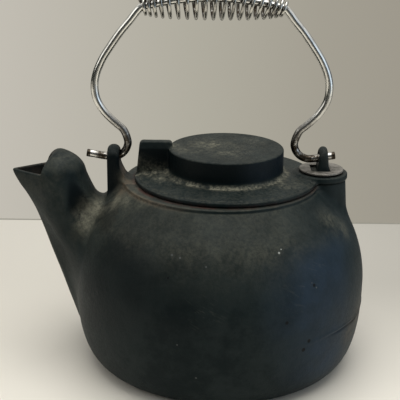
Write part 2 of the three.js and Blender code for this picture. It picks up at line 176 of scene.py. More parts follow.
class Turned:
    """Distance to a body of revolution, kept as a table over radius and height."""

    STEP = 0.4

    def __init__(self, outline: Outline, reach: float, low: float, high: float) -> None:
        """Works the table out.

        Formula: at each place the least distance to the outline's stretches, negative where a
        level line to the right crosses the closed outline an odd number of times.

        Args:
            outline: radius and height pairs from the axis round to the axis again.
            reach: greatest radius of the table.
            low: least height of the table.
            high: greatest height of the table.
        """
        self.reach, self.low, self.high = reach, low, high
        radii = np.arange(0, reach + self.STEP, self.STEP)
        heights = np.arange(low, high + self.STEP, self.STEP)
        r, z = np.meshgrid(radii, heights, indexing="ij")
        best = np.full(r.shape, np.inf)
        inside = np.zeros(r.shape, bool)
        for (r0, z0), (r1, z1) in zip(outline, outline[1:] + outline[:1]):
            dr, dz = r1 - r0, z1 - z0
            if dz:
                inside ^= ((z0 > z) != (z1 > z)) & (r < r0 + dr * (z - z0) / dz)
            if r0 or r1:
                along = np.clip(((r - r0) * dr + (z - z0) * dz) / max(dr * dr + dz * dz, 1e-12), 0, 1)
                best = np.minimum(best, np.hypot(r - r0 - along * dr, z - z0 - along * dz))
        self.table = np.where(inside, -best, best)

    def __call__(self, radius: Array, height: Array) -> Array:
        """Distance at each radius and height.

        Formula: straight interpolation in the table, plus the way to its nearest edge outside it.

        Args:
            radius: distances from the axis.
            height: heights.
        Returns:
            Distance, negative inside.
        """
        r = np.clip(radius, 0, self.reach)
        z = np.clip(height, self.low, self.high)
        u, v = r / self.STEP, (z - self.low) / self.STEP
        i = np.minimum(u.astype(int), self.table.shape[0] - 2)
        j = np.minimum(v.astype(int), self.table.shape[1] - 2)
        u, v = u - i, v - j
        t = self.table
        low = t[i, j] * (1 - u) + t[i + 1, j] * u
        high = t[i, j + 1] * (1 - u) + t[i + 1, j + 1] * u
        return low * (1 - v) + high * v + np.hypot(radius - r, height - z)


def rounded_corner(before: Pair, corner: Pair, after: Pair, radius: float, steps: int = 6) -> Outline:
    """Points that replace an outline's corner by a soft bend.

    Formula: the quadratic curve from radius before the corner to radius after it, drawn towards it.

    Args:
        before: the outline's point before the corner.
        corner: the corner.
        after: the point after it.
        radius: how far from the corner the bend starts and ends.
        steps: number of stretches in the bend.
    Returns:
        The bend's points.
    """
    c = np.array(corner)
    start, end = (c + radius * unit(np.array(side) - c) for side in (before, after))
    t = np.linspace(0, 1, steps + 1)[:, None]
    return [tuple(p) for p in start * (1 - t) ** 2 + 2 * c * t * (1 - t) + end * t**2]


def quarter(start: Pair, end: Pair, power: float, turn_share: float = 1, steps: int = 48) -> Outline:
    """Part of a quarter of a superellipse, upright where it starts.

    Formula: with turn from 0 to the share of a right angle, the way across is one less the cosine
    to 2 / power, and the way up is the sine to 2 / power.

    Args:
        start: radius and height where the curve is upright.
        end: radius and height where it would be level.
        power: the superellipse's power.
        turn_share: how much of the quarter is kept.
        steps: number of stretches.
    Returns:
        The curve's points.
    """
    turn = np.linspace(0, turn_share * math.pi / 2, steps + 1)
    across = 1 - np.cos(turn).clip(0) ** (2 / power)
    up = np.sin(turn) ** (2 / power)
    return list(zip(start[0] + (end[0] - start[0]) * across, start[1] + (end[1] - start[1]) * up))


# Meshing a distance function


@dataclass
class Surface:
    """A closed surface: points, faces, and the numbers per point that its finish reads, by name."""

    points: Array
    quads: Array
    triangles: Array
    shades: dict[str, Array] = field(default_factory=dict)


def spaced(*stretches: Triple) -> Array:
    """Grid lines with a spacing of their own on each stretch.

    Args:
        stretches: start, end and spacing of each stretch.
    Returns:
        The lines' places.
    """
    parts = []
    for start, end, spacing in stretches:
        count = max(1, round((end - start) / spacing))
        parts.append(np.linspace(start, end, count, endpoint=False))
    return np.append(np.concatenate(parts), stretches[-1][1])


def gradient(points: Array, distance: Distance, probe: float = 0.12) -> Array:
    """Slope of the distance at each point.

    Formula: the difference between the distances a probe's length to either side, over their gap.

    Args:
        points: where the slope is wanted.
        distance: distance function.
        probe: length of the probe.
    Returns:
        One vector per point, never quite 0.
    """
    slopes = []
    for axis in range(3):
        ahead, behind = points.copy(), points.copy()
        ahead[:, axis] += probe
        behind[:, axis] -= probe
        slopes.append((distance(*ahead.T) - distance(*behind.T)) / (2 * probe))
    return np.stack(slopes, -1) + 1e-9


def step_onto(points: Array, distance: Distance, moving: Array, longest: float = 1.5,
              flattest: float = 0.15) -> Array:
    """Moves points to the surface.

    Formula: each goes back by its distance over its slope, along the slope.

    Args:
        points: points near the surface.
        distance: distance function.
        moving: which of them may move.
        longest: longest step.
        flattest: least square of the slope that a step is worked out with.
    Returns:
        The moved points.
    """
    slope = gradient(points, distance)
    size = np.maximum(np.sum(slope**2, axis=1), flattest)
    step = slope * (distance(*points.T) / size)[:, None]
    length = np.linalg.norm(step, axis=1, keepdims=True)
    step *= np.minimum(1, longest / np.maximum(length, 1e-9))
    return np.where(moving[:, None], points - step, points)


def openness(points: Array, distance: Distance, sunk: float = 0.9,
             proud: float = 3.5) -> dict[str, Array]:
    """How much each point is a standing edge and how much it lies in a valley.

    Formula: a little inside the metal the surface is nearer than the probe beside an edge, and a
    little outside it the surface is nearer than the probe in a valley. The shortfall is the share.

    Args:
        points: points on the surface.
        distance: distance function.
        sunk: length of the probe into the metal.
        proud: length of the probe out of it.
    Returns:
        The shades edge and valley, from 0 to 1.
    """
    normal = unit(gradient(points, distance))
    edge = (distance(*(points - sunk * normal).T) + sunk) / sunk
    valley = (proud - distance(*(points + proud * normal).T)) / proud
    return {"edge": edge.clip(0, 1), "valley": valley.clip(0, 1)}


@dataclass
class PolarNet:
    """Meshes the surface of a distance function on a grid of radius, angle and height."""

    radii: Array
    angles: Array
    heights: Array
    centre_x: float = 0.0
    rounds: int = 3

    def place(self, r: Array, a: Array, z: Array) -> Array:
        """Turns radius, angle in degrees and height into X, Y and Z."""
        turn = np.radians(a)
        return np.stack([self.centre_x + r * np.cos(turn), r * np.sin(turn), z], -1)

    def mesh(self, distance: Distance) -> Surface:
        """Meshes the surface where the distance is 0.

        Formula: each grid cell that the surface passes through gets one point, the mean of where
        its edges cross the surface, and each crossed grid edge gets the quad of the four cells
        round it. The points then slide towards their neighbours' mean along the surface and step
        back onto it along the gradient.

        Args:
            distance: distance function, negative inside.
        Returns:
            The closed mesh with faces outwards, and its shades edge and valley.
        """
        grid = self.place(*np.meshgrid(self.radii, self.angles, self.heights, indexing="ij"))
        values = distance(grid[..., 0], grid[..., 1], grid[..., 2])
        values = np.concatenate([values, values[:, :1]], axis=1)
        cells, index = self._cells(values < 0)
        points = self._cell_points(values, cells)
        quads, fans, caps = self._faces(values < 0, index, points)
        points = np.concatenate([points, caps])
        moving = np.arange(len(points)) < len(points) - len(caps)
        for _ in range(self.rounds):
            points = step_onto(points, distance, moving)
        for _ in range(self.rounds):
            points = self._relax(points, quads, distance, moving)
        return Surface(points, quads, fans, openness(points, distance))

    def _cells(self, inside: Array) -> tuple[tuple[Array, ...], Array]:
        """Finds the cells that the surface passes through and numbers them.

        Args:
            inside: whether each grid point is in the metal.
        Returns:
            The cells' places in the grid, and a grid of their numbers with -1 elsewhere.
        """
        nr, na, nz = (size - 1 for size in inside.shape)
        total = sum(inside[i:nr + i, j:na + j, k:nz + k].astype(np.int8) for i, j, k in CORNERS)
        active = (total > 0) & (total < len(CORNERS))
        index = np.full(active.shape, -1)
        index[active] = np.arange(np.count_nonzero(active))
        return np.nonzero(active), index

    def _cell_points(self, values: Array, cells: tuple[Array, ...]) -> Array:
        """Mean of the crossings on each cell's twelve edges.

        Args:
            values: distance at each grid point.
            cells: the cells' places in the grid.
        Returns:
            One point per cell.
        """
        angles = np.append(self.angles, self.angles[0] + 360)
        ci, cj, ck = cells
        corner = {}
        for i, j, k in CORNERS:
            place = np.stack([self.radii[ci + i], angles[cj + j], self.heights[ck + k]], -1)
            corner[i, j, k] = (values[ci + i, cj + j, ck + k], place)
        total, crossings = np.zeros((len(ci), 3)), np.zeros((len(ci), 1))
        for key, axis in product(CORNERS, range(3)):
            if key[axis]:
                continue
            (va, pa), (vb, pb) = corner[key], corner[*key[:axis], 1, *key[axis + 1:]]
            crossed = ((va < 0) != (vb < 0))[:, None]
            share = (va / np.where(va == vb, 1, va - vb))[:, None]
            total += np.where(crossed, pa + (pb - pa) * share, 0)
            crossings += crossed
        return self.place(*(total / crossings).T)

    def _faces(self, inside: Array, index: Array, points: Array) -> tuple[Array, Array, Array]:
        """Quads round the crossed grid edges, and fans that close the surface at the axis.

        Args:
            inside: whether each grid point is in the metal.
            index: grid of the cells' numbers.
            points: the cells' points.
        Returns:
            Quads, fan triangles and the fans' middles.
        """
        whole, back = inside[:, :-1], np.roll(index, 1, axis=1)
        edges = ((whole[:-1, :, 1:-1], whole[1:, :, 1:-1],
                  (back[:, :, :-1], index[:, :, :-1], index[:, :, 1:], back[:, :, 1:])),
                 (whole[1:-1, :, 1:-1], inside[1:-1, 1:, 1:-1],
                  (index[:-1, :, :-1], index[:-1, :, 1:], index[1:, :, 1:], index[1:, :, :-1])),
                 (whole[1:-1, :, :-1], whole[1:-1, :, 1:], (back[:-1], back[1:], index[1:], index[:-1])))
        quads = []
        for first, second, corners in edges:
            crossed = first != second
            found = np.stack([c[crossed] for c in corners], -1)
            inward = ~first[crossed]
            found[inward] = found[inward][:, ::-1]
            quads.append(found)
        caps, fans = [], [np.zeros((0, 3), int)]
        for level in np.nonzero(whole[0, 0, :-1] != whole[0, 0, 1:])[0]:
            ring = index[0, :, level]
            centre = np.full(len(ring), len(points) + len(caps))
            fan = np.stack([centre, back[0, :, level], ring], -1)
            fans.append(fan if whole[0, 0, level] else fan[:, ::-1])
            caps.append([self.centre_x, 0, points[ring][:, 2].mean()])
        return np.concatenate(quads), np.concatenate(fans), np.array(caps).reshape(-1, 3)

    def _relax(self, points: Array, quads: Array, distance: Distance, moving: Array) -> Array:
        """Slides each point half way to its neighbours' mean along the surface and back onto it.

        Args:
            points: points on the surface.
            quads: the faces that say which points are neighbours.
            distance: distance function.
            moving: which points may move.
        Returns:
            The moved points.
        """
        total, number = np.zeros_like(points), np.zeros(len(points))
        for a, b in ((0, 1), (1, 2), (2, 3), (3, 0)):
            for one, other in ((quads[:, a], quads[:, b]), (quads[:, b], quads[:, a])):
                number += np.bincount(one, minlength=len(points))
                for axis in range(3):
                    total[:, axis] += np.bincount(one, points[other, axis], len(points))
        shift = total / np.maximum(number, 1)[:, None] - points
        normal = unit(gradient(points, distance))
        shift -= normal * np.sum(shift * normal, axis=1, keepdims=True)
        shift[~moving | (number == 0)] = 0
        return step_onto(points + 0.5 * shift, distance, moving)


def blots(points: Array, spots: Spots) -> Array:
    """Soft round blots on a piece.

    Formula: the greatest of the spots' strengths, each falling off as a bell curve with distance.

    Args:
        points: the piece's points.
        spots: centre, size and strength of each blot.
    Returns:
        A share per point.
    """
    shares = [strength * bell(np.linalg.norm(points - np.array(centre), axis=1), size)
              for centre, size, strength in spots]
    return np.max(shares, axis=0)


def sweep(path: Array, tangent: Array, side: Array, radius: Array, sides: int) -> Surface:
    """Carries a round section along a path.

    Formula: each path point gets a ring of equal turns in the plane of the side vector and the
    tangent's cross product with it. Consecutive rings are joined by quads and both ends are fans.

    Args:
        path: points along the middle of the wire.
        tangent: unit directions along the path.
        side: unit vectors square to the tangents.
        radius: radius at each path point.
        sides: points in each ring.
    Returns:
        The surface, ring after ring, with the two ends' middles last.
    """
    other = np.cross(tangent, side)
    turn = np.arange(sides) * 2 * math.pi / sides
    ring = np.cos(turn)[None, :, None] * side[:, None] + np.sin(turn)[None, :, None] * other[:, None]
    points = (path[:, None] + ring * radius[:, None, None]).reshape(-1, 3)
    rows = np.arange(len(path) - 1)[:, None] * sides
    column = np.arange(sides)[None, :]
    following = (column + 1) % sides
    quads = np.stack([rows + column, rows + following,
                      rows + sides + following, rows + sides + column], -1)
    last, c, f = (len(path) - 1) * sides, column[0], following[0]
    middle = np.full(sides, len(points))
    ends = np.concatenate([np.stack([middle, f, c], -1), np.stack([middle + 1, last + c, last + f], -1)])
    return Surface(np.concatenate([points, path[:1], path[-1:]]), quads.reshape(-1, 4), ends)


def add_piece(name: str, surface: Surface, material: bpy.types.Material, body: Body) -> bpy.types.Object:
    """Makes a finished piece from a surface in millimetres and hangs it on its body.

    Args:
        name: the piece's name.
        surface: its points, faces and shades.
        material: its finish.
        body: the body that it moves with.
    Returns:
        The new object, at the origin, with its place in its mesh.
    """
    mesh = bpy.data.meshes.new(name)
    faces = surface.quads.tolist() + surface.triangles.tolist()
    mesh.from_pydata((surface.points * MM).tolist(), [], faces)
    mesh.polygons.foreach_set("use_smooth", np.ones(len(faces), bool))
    for key, values in surface.shades.items():
        attribute = mesh.attributes.new(key, "FLOAT", "POINT")
        attribute.data.foreach_set("value", values.astype(np.float32))
    mesh.materials.append(material)
    mesh.update()
    piece = bpy.data.objects.new(name, mesh)
    bpy.context.scene.collection.objects.link(piece)
    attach(piece, body.value)
    LOG.info("%s: %d points, %d faces", name, len(surface.points), len(faces))
    return piece


# Finishes


class Wiring:
    """Adds shader nodes to one node tree and keeps the wiring short."""

    def __init__(self, tree: bpy.types.NodeTree) -> None:
        """Takes a tree to work in."""
        self.tree = tree

    def feed(self, socket: Socket, value: object) -> None:
        """Links a socket to another node, or sets it where the value is a plain one.

        Args:
            socket: the socket.
            value: another node's socket, a number, a vector or a colour.
        """
        if isinstance(value, Socket):
            self.tree.links.new(value, socket)
        else:
            socket.default_value = (*value, 1) if socket.type == "RGBA" else value

    def add(self, kind: str, inputs: dict[int | str, object] | None = None,
            **settings: object) -> bpy.types.Node:
        """Adds a node.

        Args:
            kind: its kind, without the word ShaderNode.
            inputs: what its sockets are fed with.
            settings: its properties.
        Returns:
            The node.
        """
        node = self.tree.nodes.new("ShaderNode" + kind)
        for key, value in settings.items():
            setattr(node, key, value)
        for key, value in (inputs or {}).items():
            self.feed(node.inputs[key], value)
        return node

    def math(self, operation: str, a: object, b: object, clamp: bool = False) -> Socket:
        """One sum on two numbers."""
        return self.add("Math", {0: a, 1: b}, operation=operation, use_clamp=clamp).outputs[0]

    def times(self, a: object, b: object, clamp: bool = False) -> Socket:
        """The product of two numbers."""
        return self.math("MULTIPLY", a, b, clamp)

    def plus(self, a: object, b: object, clamp: bool = False) -> Socket:
        """The sum of two numbers."""
        return self.math("ADD", a, b, clamp)

    def part(self, vector: Socket, axis: str) -> Socket:
        """One part of a vector."""
        return self.add("SeparateXYZ", {0: vector}).outputs[axis]

    def span(self, value: object, low: float, high: float, to_low: float = 0.0, to_high: float = 1.0,
             way: str = "SMOOTHSTEP") -> Socket:
        """Stretches a range over another one and holds it there.

        Args:
            value: the number.
            low: where the range starts.
            high: where it ends.
            to_low: what its start becomes.
            to_high: what its end becomes.
            way: how the number runs between them.
        Returns:
            The new number.
        """
        inputs = {"Value": value, "From Min": low, "From Max": high, "To Min": to_low, "To Max": to_high}
        return self.add("MapRange", inputs, clamp=True, interpolation_type=way).outputs["Result"]

    def blend(self, share: object, a: object, b: object, way: str = "MIX") -> Socket:
        """Mixes two colours."""
        return self.add("Mix", {0: share, 6: a, 7: b}, data_type="RGBA", blend_type=way).outputs[2]

    def ramp(self, value: Socket, low: float, high: float, stops: Stops) -> Socket:
        """Runs a number through a ramp of colours.

        Args:
            value: the number.
            low: where the ramp starts.
            high: where it ends.
            stops: share of the way and colour of each stop.
        Returns:
            The colour.
        """
        node = self.add("ValToRGB", {0: self.span(value, low, high, way="LINEAR")})
        elements = node.color_ramp.elements
        while len(elements) < len(stops):
            elements.new(0.5)
        for element, (at, colour) in zip(elements, stops):
            element.position, element.color = at, (*colour, 1)
        return node.outputs[0]


class NodeBook(Wiring):
    """One material's nodes, over the object's own coordinates."""

    def __init__(self, name: str) -> None:
        """Starts a material with its shader and output.

        Args:
            name: the material's name.
        """
        self.material = bpy.data.materials.new(name)
        self.material.use_nodes = True
        super().__init__(self.material.node_tree)
        self.shader = self.tree.nodes["Principled BSDF"]
        self.place = self.add("TexCoord").outputs["Object"]

    def noise(self, scale: float, detail: float = 3.0, roughness: float = 0.5, warp: float = 0.0,
              place: Socket | None = None) -> Socket:
        """Soft noise.

        Args:
            scale: waves per metre.
            detail: number of finer layers.
            roughness: strength of the finer layers.
            warp: how far the waves are bent.
            place: coordinates other than the object's plain ones.
        Returns:
            The noise, from 0 to 1.
        """
        inputs = {"Vector": self.place if place is None else place, "Scale": scale, "Detail": detail,
                  "Roughness": roughness, "Distortion": warp}
        return self.add("TexNoise", inputs).outputs["Fac"]

    def stretched(self, scale: Triple, tilt: float) -> Socket:
        """The object's coordinates, stretched along each axis and tilted about Y."""
        inputs = {"Vector": self.place, "Rotation": (0.0, tilt, 0.0), "Scale": scale}
        return self.add("Mapping", inputs, vector_type="TEXTURE").outputs[0]

    def cells(self, scale: float) -> Socket:
        """Distance to the nearest of many scattered points."""
        return self.add("TexVoronoi", {"Vector": self.place, "Scale": scale}).outputs["Distance"]

    def shade(self, name: str) -> Socket:
        """Reads a number that the piece keeps at its points."""
        return self.add("Attribute", attribute_name=name).outputs["Fac"]

    def broken(self, name: str, pattern: Socket, low: float, high: float, least: float,
               most: float) -> Socket:
        """One of the piece's shades, broken up by a pattern.

        Args:
            name: the shade's name.
            pattern: the pattern.
            low: where the pattern's range starts.
            high: where it ends.
            least: what the shade is multiplied by at its start.
            most: and at its end.
        Returns:
            The product, held between 0 and 1.
        """
        return self.times(self.shade(name), self.span(pattern, low, high, least, most), clamp=True)

    def upward(self) -> Socket:
        """How far the surface faces up, from -1 to 1."""
        return self.part(self.add("NewGeometry").outputs["Normal"], "Z")

    def spot(self, centre: Triple, radius: float, core: float = 0.55) -> Socket:
        """A soft round mark at a place given in millimetres.

        Args:
            centre: its middle.
            radius: its radius.
            core: share of the radius over which it is whole.
        Returns:
            1 in its middle and 0 outside it.
        """
        inputs = {0: self.place, 1: tuple(c * MM for c in centre)}
        away = self.add("VectorMath", inputs, operation="DISTANCE").outputs["Value"]
        return self.span(away, radius * MM * core, radius * MM, 1.0, 0.0)

    def bump(self, *layers: tuple[object, float]) -> None:
        """Raises the surface by some layers, one bump upon the other.

        Args:
            layers: pattern and height in millimetres of each layer.
        """
        below = {}
        for height, depth in layers:
            node = self.add("Bump", {"Height": height, "Distance": depth * MM, "Strength": 1.0, **below})
            below = {"Normal": node.outputs["Normal"]}
        self.feed(self.shader.inputs["Normal"], below["Normal"])

    def finish(self, colour: object, roughness: object, **fixed: float) -> bpy.types.Material:
        """Wires the shader.

        Args:
            colour: its base colour.
            roughness: its roughness.
            fixed: its other sockets, by name with low lines for spaces.
        Returns:
            The material.
        """
        self.feed(self.shader.inputs["Base Color"], colour)
        self.feed(self.shader.inputs["Roughness"], roughness)
        for key, value in fixed.items():
            self.shader.inputs[key.replace("_", " ")].default_value = value
        return self.material


@dataclass(frozen=True)
class Marks:
    """Small marks of one colour on a casting: X, Y, Z and radius of each, in millimetres."""

    colour: Triple
    places: tuple[tuple[float, float, float, float], ...]


@dataclass(frozen=True)
class SeasonedIron:
    """Black seasoned cast iron: fine grained, dusty facing up, rubbed pale, with painted light and shade.
    """

    name: str
    black: Triple = (0.0023, 0.0078, 0.0088)
    grey: Triple = (0.0120, 0.0194, 0.0200)
    # Colours of the painted shade and of the painted blue window light
    painted_shade_black: Triple = (0.0006, 0.0036, 0.0046)
    painted_window_blue: Triple = (0.0150, 0.0295, 0.0482)
    dust: Triple = (0.171, 0.167, 0.127)
    rust: Triple = (0.060, 0.017, 0.014)
    dirt: Triple = (0.125, 0.100, 0.072)
    dustiness: float = 0.17
    speckle: float = 0.32
    sheen_of_oil: float = 0.12
    marks: tuple[Marks, ...] = ()

    def make(self) -> bpy.types.Material:
        """Builds the finish.

        Returns:
            The material. It reads the shades edge, valley, worn, rust, dirt and scuff, a shade of less
            dust that is partly painted shadow, painted shade, and painted blue window light.
        """
        book = NodeBook(self.name)
        broad = book.noise(22, 4, 0.6)
        patchy = book.noise(95, 6, 0.7, warp=0.6)
        grain = book.noise(700, 3, 0.6)
        mottle = book.plus(book.times(broad, 0.5), book.times(book.noise(75, 6, 0.75), 0.5))
        colour = book.blend(book.span(mottle, 0.40, 0.60), self.black, self.grey)
        # Painted shade: blackens recesses, the gap under the washer and faces that the light misses
        colour = book.blend(book.shade("painted_shade"), colour, self.painted_shade_black)
        # Painted blue window light, broken up by noise
        painted_blue_share = book.broken("painted_window_blue", book.noise(34, 4, 0.6), 0.34, 0.62, 0.5, 1.0)
        colour = book.blend(painted_blue_share, colour, self.painted_window_blue)
        pale = self._pale(book, patchy)
        colour = book.blend(pale, colour, self.dust)
        colour = book.blend(book.broken("rust", patchy, 0.38, 0.6, 0.1, 1.0), colour, self.rust)
        dirty = book.broken("dirt", book.noise(330, 4, 0.7), 0.36, 0.62, 0.3, 1.1)
        colour = book.blend(dirty, colour, self.dirt)
        for group in self.marks:
            for *centre, radius in group.places:
                colour = book.blend(book.spot(centre, radius), colour, group.colour)
        strokes = book.noise(170, 2, 0.5, place=book.stretched((1.0, 1.0, 0.16), 0.5))
        colour = book.blend(book.broken("scuff", strokes, 0.58, 0.68, 0.0, 0.11), colour, self.dust)
        rough = book.span(book.plus(pale, book.span(grain, 0.3, 0.7, 0.0, 0.35)), 0, 1, 0.48, 0.78)
        pits = book.span(book.cells(820), 0.0, 0.35)
        book.bump((broad, 0.5), (book.noise(240), 0.16), (grain, 0.10), (pits, 0.05))
        return book.finish(colour, rough, Specular_IOR_Level=self.sheen_of_oil)

    def _pale(self, book: NodeBook, patchy: Socket) -> Socket:
        """How pale the iron is: dust facing up and in valleys, rubbed edges and patches, painted highlight.

        Args:
            book: the material's nodes.
            patchy: noise that breaks the dust up.
        Returns:
            The share of dust, from 0 to 1.
        """
        faces_up = book.upward()
        lying = book.times(book.span(faces_up, 0.12, 0.68, 0.0, self.dustiness),
                           book.span(patchy, 0.3, 0.7, 0.62, 1.14))
        # Less dust where the pot is clean, and on the cheek beside the spout as painted shadow
        lying = book.times(lying, book.math("SUBTRACT", 1.0, book.shade("clean_and_shaded")))
        corner = book.broken("valley", faces_up, 0.15, 0.8, 0.0, 0.3)
        worn = book.broken("edge", patchy, 0.4, 0.66, 0.0, 0.22)
        # Rubbed pale patches; on the hood and down the spout's nose this is painted highlight
        rubbed = book.broken("worn", patchy, 0.36, 0.6, 0.12, 0.8)
        pale = book.plus(book.plus(lying, corner), book.plus(worn, rubbed))
        speck = book.span(book.noise(470, 5, 0.72), 0.36, 0.64, 1 - self.speckle, 1 + self.speckle)
        return book.times(pale, speck, clamp=True)


@dataclass(frozen=True)
class BrightPlating:
    """Bright plated wire with drawing marks, fine scratches, grime where it is handled least and painted
    shade.
    """

    name: str
    silver: Triple = (0.73, 0.72, 0.68)
    dull: Triple = (0.52, 0.505, 0.475)
    grime_and_shade: Triple = (0.045, 0.036, 0.026)

    def make(self) -> bpy.types.Material:
        """Builds the finish.

        Returns:
            The material. It reads one shade, of grime and, on the coil, painted shade.
        """
        book = NodeBook(self.name)
        cloud = book.noise(120, 4, 0.6)
        specks = book.noise(900, 3, 0.6)
        colour = book.blend(book.span(cloud, 0.42, 0.68), self.silver, self.dull)
        # Grime, and on the coil painted shade on the wire's inner side
        dirt = book.broken("grime_and_shade", book.noise(300, 4, 0.7), 0.30, 0.56, 0.35, 1.0)
        dirt = book.plus(dirt, book.span(specks, 0.66, 0.74, 0.0, 0.5), clamp=True)
        colour = book.blend(dirt, colour, self.grime_and_shade)
        rough = book.plus(book.span(cloud, 0.3, 0.7, 0.10, 0.22), book.times(dirt, 0.18))
        book.bump((book.noise(300), 0.05), (specks, 0.012))
        return book.finish(colour, rough, Metallic=1.0)


@dataclass(frozen=True)
class DullSteel:
    """Darkened sheet steel with a trace of rust, and painted shade along its underside."""

    name: str
    steel: Triple = (0.30, 0.29, 0.265)
    dark: Triple = (0.13, 0.125, 0.11)
    rust: Triple = (0.10, 0.055, 0.035)
    # Colour of the painted shade along the underside
    black: Triple = (0.010, 0.010, 0.009)

    def make(self) -> bpy.types.Material:
        """Builds the finish.

        Returns:
            The material. It reads the shades edge and under; under is painted shade along the underside.
        """
        book = NodeBook(self.name)
        cloud = book.noise(180, 5, 0.65)
        colour = book.blend(book.span(cloud, 0.38, 0.62), self.dark, self.steel)
        colour = book.blend(book.broken("edge", cloud, 0.4, 0.6, 0.1, 0.7), colour, self.rust)
        # Painted shade along the underside, in the gap over the lid's eye
        colour = book.blend(book.shade("under"), colour, self.black)
        book.bump((book.noise(700, 4, 0.6), 0.04), (cloud, 0.12))
        return book.finish(colour, book.span(cloud, 0.3, 0.7, 0.42, 0.62), Metallic=0.75)


# The kettle's pieces


@dataclass
class Levels:
    """Heights and places that several pieces share, in millimetres."""

    belly_radius: float = 92.0
    rim_height: float = 116.5
    rim_radius: float = 61.0
    hinge_height: float = 131.3
    pivot_x: float = 62.7
    front_ear_x: float = -67.1
    rear_ear_x: float = 63.4
    post_top: float = 118.3
    eye_underside: float = 118.6
    stub_top: float = 122.6
    lid_underside: float = 116.8
    lid_centre_x: float = 3.0
    lid_radius: float = 57.0
    rod_radius: float = 2.38
    hole_radius: float = 3.68


# Spots on the castings: centre, size and strength
RUBBED: Spots = (
    ((-84, -17, 93), 7, 1.0), ((-78, -14, 102), 7, 1.0), ((-87, -16, 86), 5, 0.8),
    ((-62, -19, 106), 7, 0.9), ((-54, -28, 111), 6, 0.7), ((-46, -38, 113), 5, 0.4),
    ((66, -36, 103), 8, 0.45), ((74, -30, 95), 7, 0.4), ((-53, -20, 117), 6, 0.7), ((-58, -9, 119), 5, 0.6))
SCUFFED: Spots = (((-9, -90, 66), 10, 1.0), ((42, -78, 73), 12, 0.8), ((58, -66, 82), 9, 0.8))
# Painted shadow that the spout casts on the cheek beside it: less dust there, then darker
CHEEK_SHADOW_UNDUSTED: Spots = (((-64, -60, 90), 24, 0.75), ((-54, -70, 80), 27, 0.8))
CHEEK_SHADOW_DARK: Spots = (((-62, -60, 88), 26, 0.8), ((-52, -72, 76), 28, 0.75), ((-66, -56, 60), 28, 0.7),
                      ((-30, -84, 70), 30, 0.45))
TAN_FOOT: Spots = (((-57, -10, 117), 4.5, 1.0), ((-60, -15, 113), 5, 0.7), ((-63, 0, 117), 4, 0.5))
TAN_SIDE: Spots = (((86, -31, 40), 9, 0.42), ((80, -44, 35), 9, 0.34), ((63, -3, 134), 9, 0.1))
DISC_FACE: Spots = (((-6, 6, 137), 12, 0.6), ((-20, -4, 137), 9, 0.42), ((4, -8, 137), 11, 0.42),
                    ((-30, 4, 137), 5, 0.9), ((18, 14, 137), 9, 0.2))
PLATE_SPOTS: Spots = (((-44, -4, 121), 6, 0.9), ((-35, -14, 121), 7, 0.7), ((38, -22, 121), 8, 0.6))
SPECKS = (
    Marks((0.35, 0.36, 0.34), ((32.2, -72.7, 95.9, 0.8), (33.4, -70.9, 97.4, 0.5))),
    Marks((0.075, 0.08, 0.078), (
        (-9.2, -82.2, 90.7, 0.7), (-23.9, -77.2, 94.0, 0.8), (-28.5, -75.0, 94.8, 0.9),
        (-25.1, -88.4, 45.2, 0.6), (52.0, -71.9, 77.3, 0.6), (54.8, -70.8, 74.0, 0.7),
        (-14.1, -89.0, 24.5, 0.7))),
    Marks((0.002, 0.003, 0.004), (
        (53.4, -71.4, 75.6, 1.4), (-30.5, -80.8, 83.2, 0.8), (37.3, -84.0, 57.6, 1.3),
        (51.3, -76.2, 42.5, 1.5), (48.3, -78.2, 37.6, 1.7))))


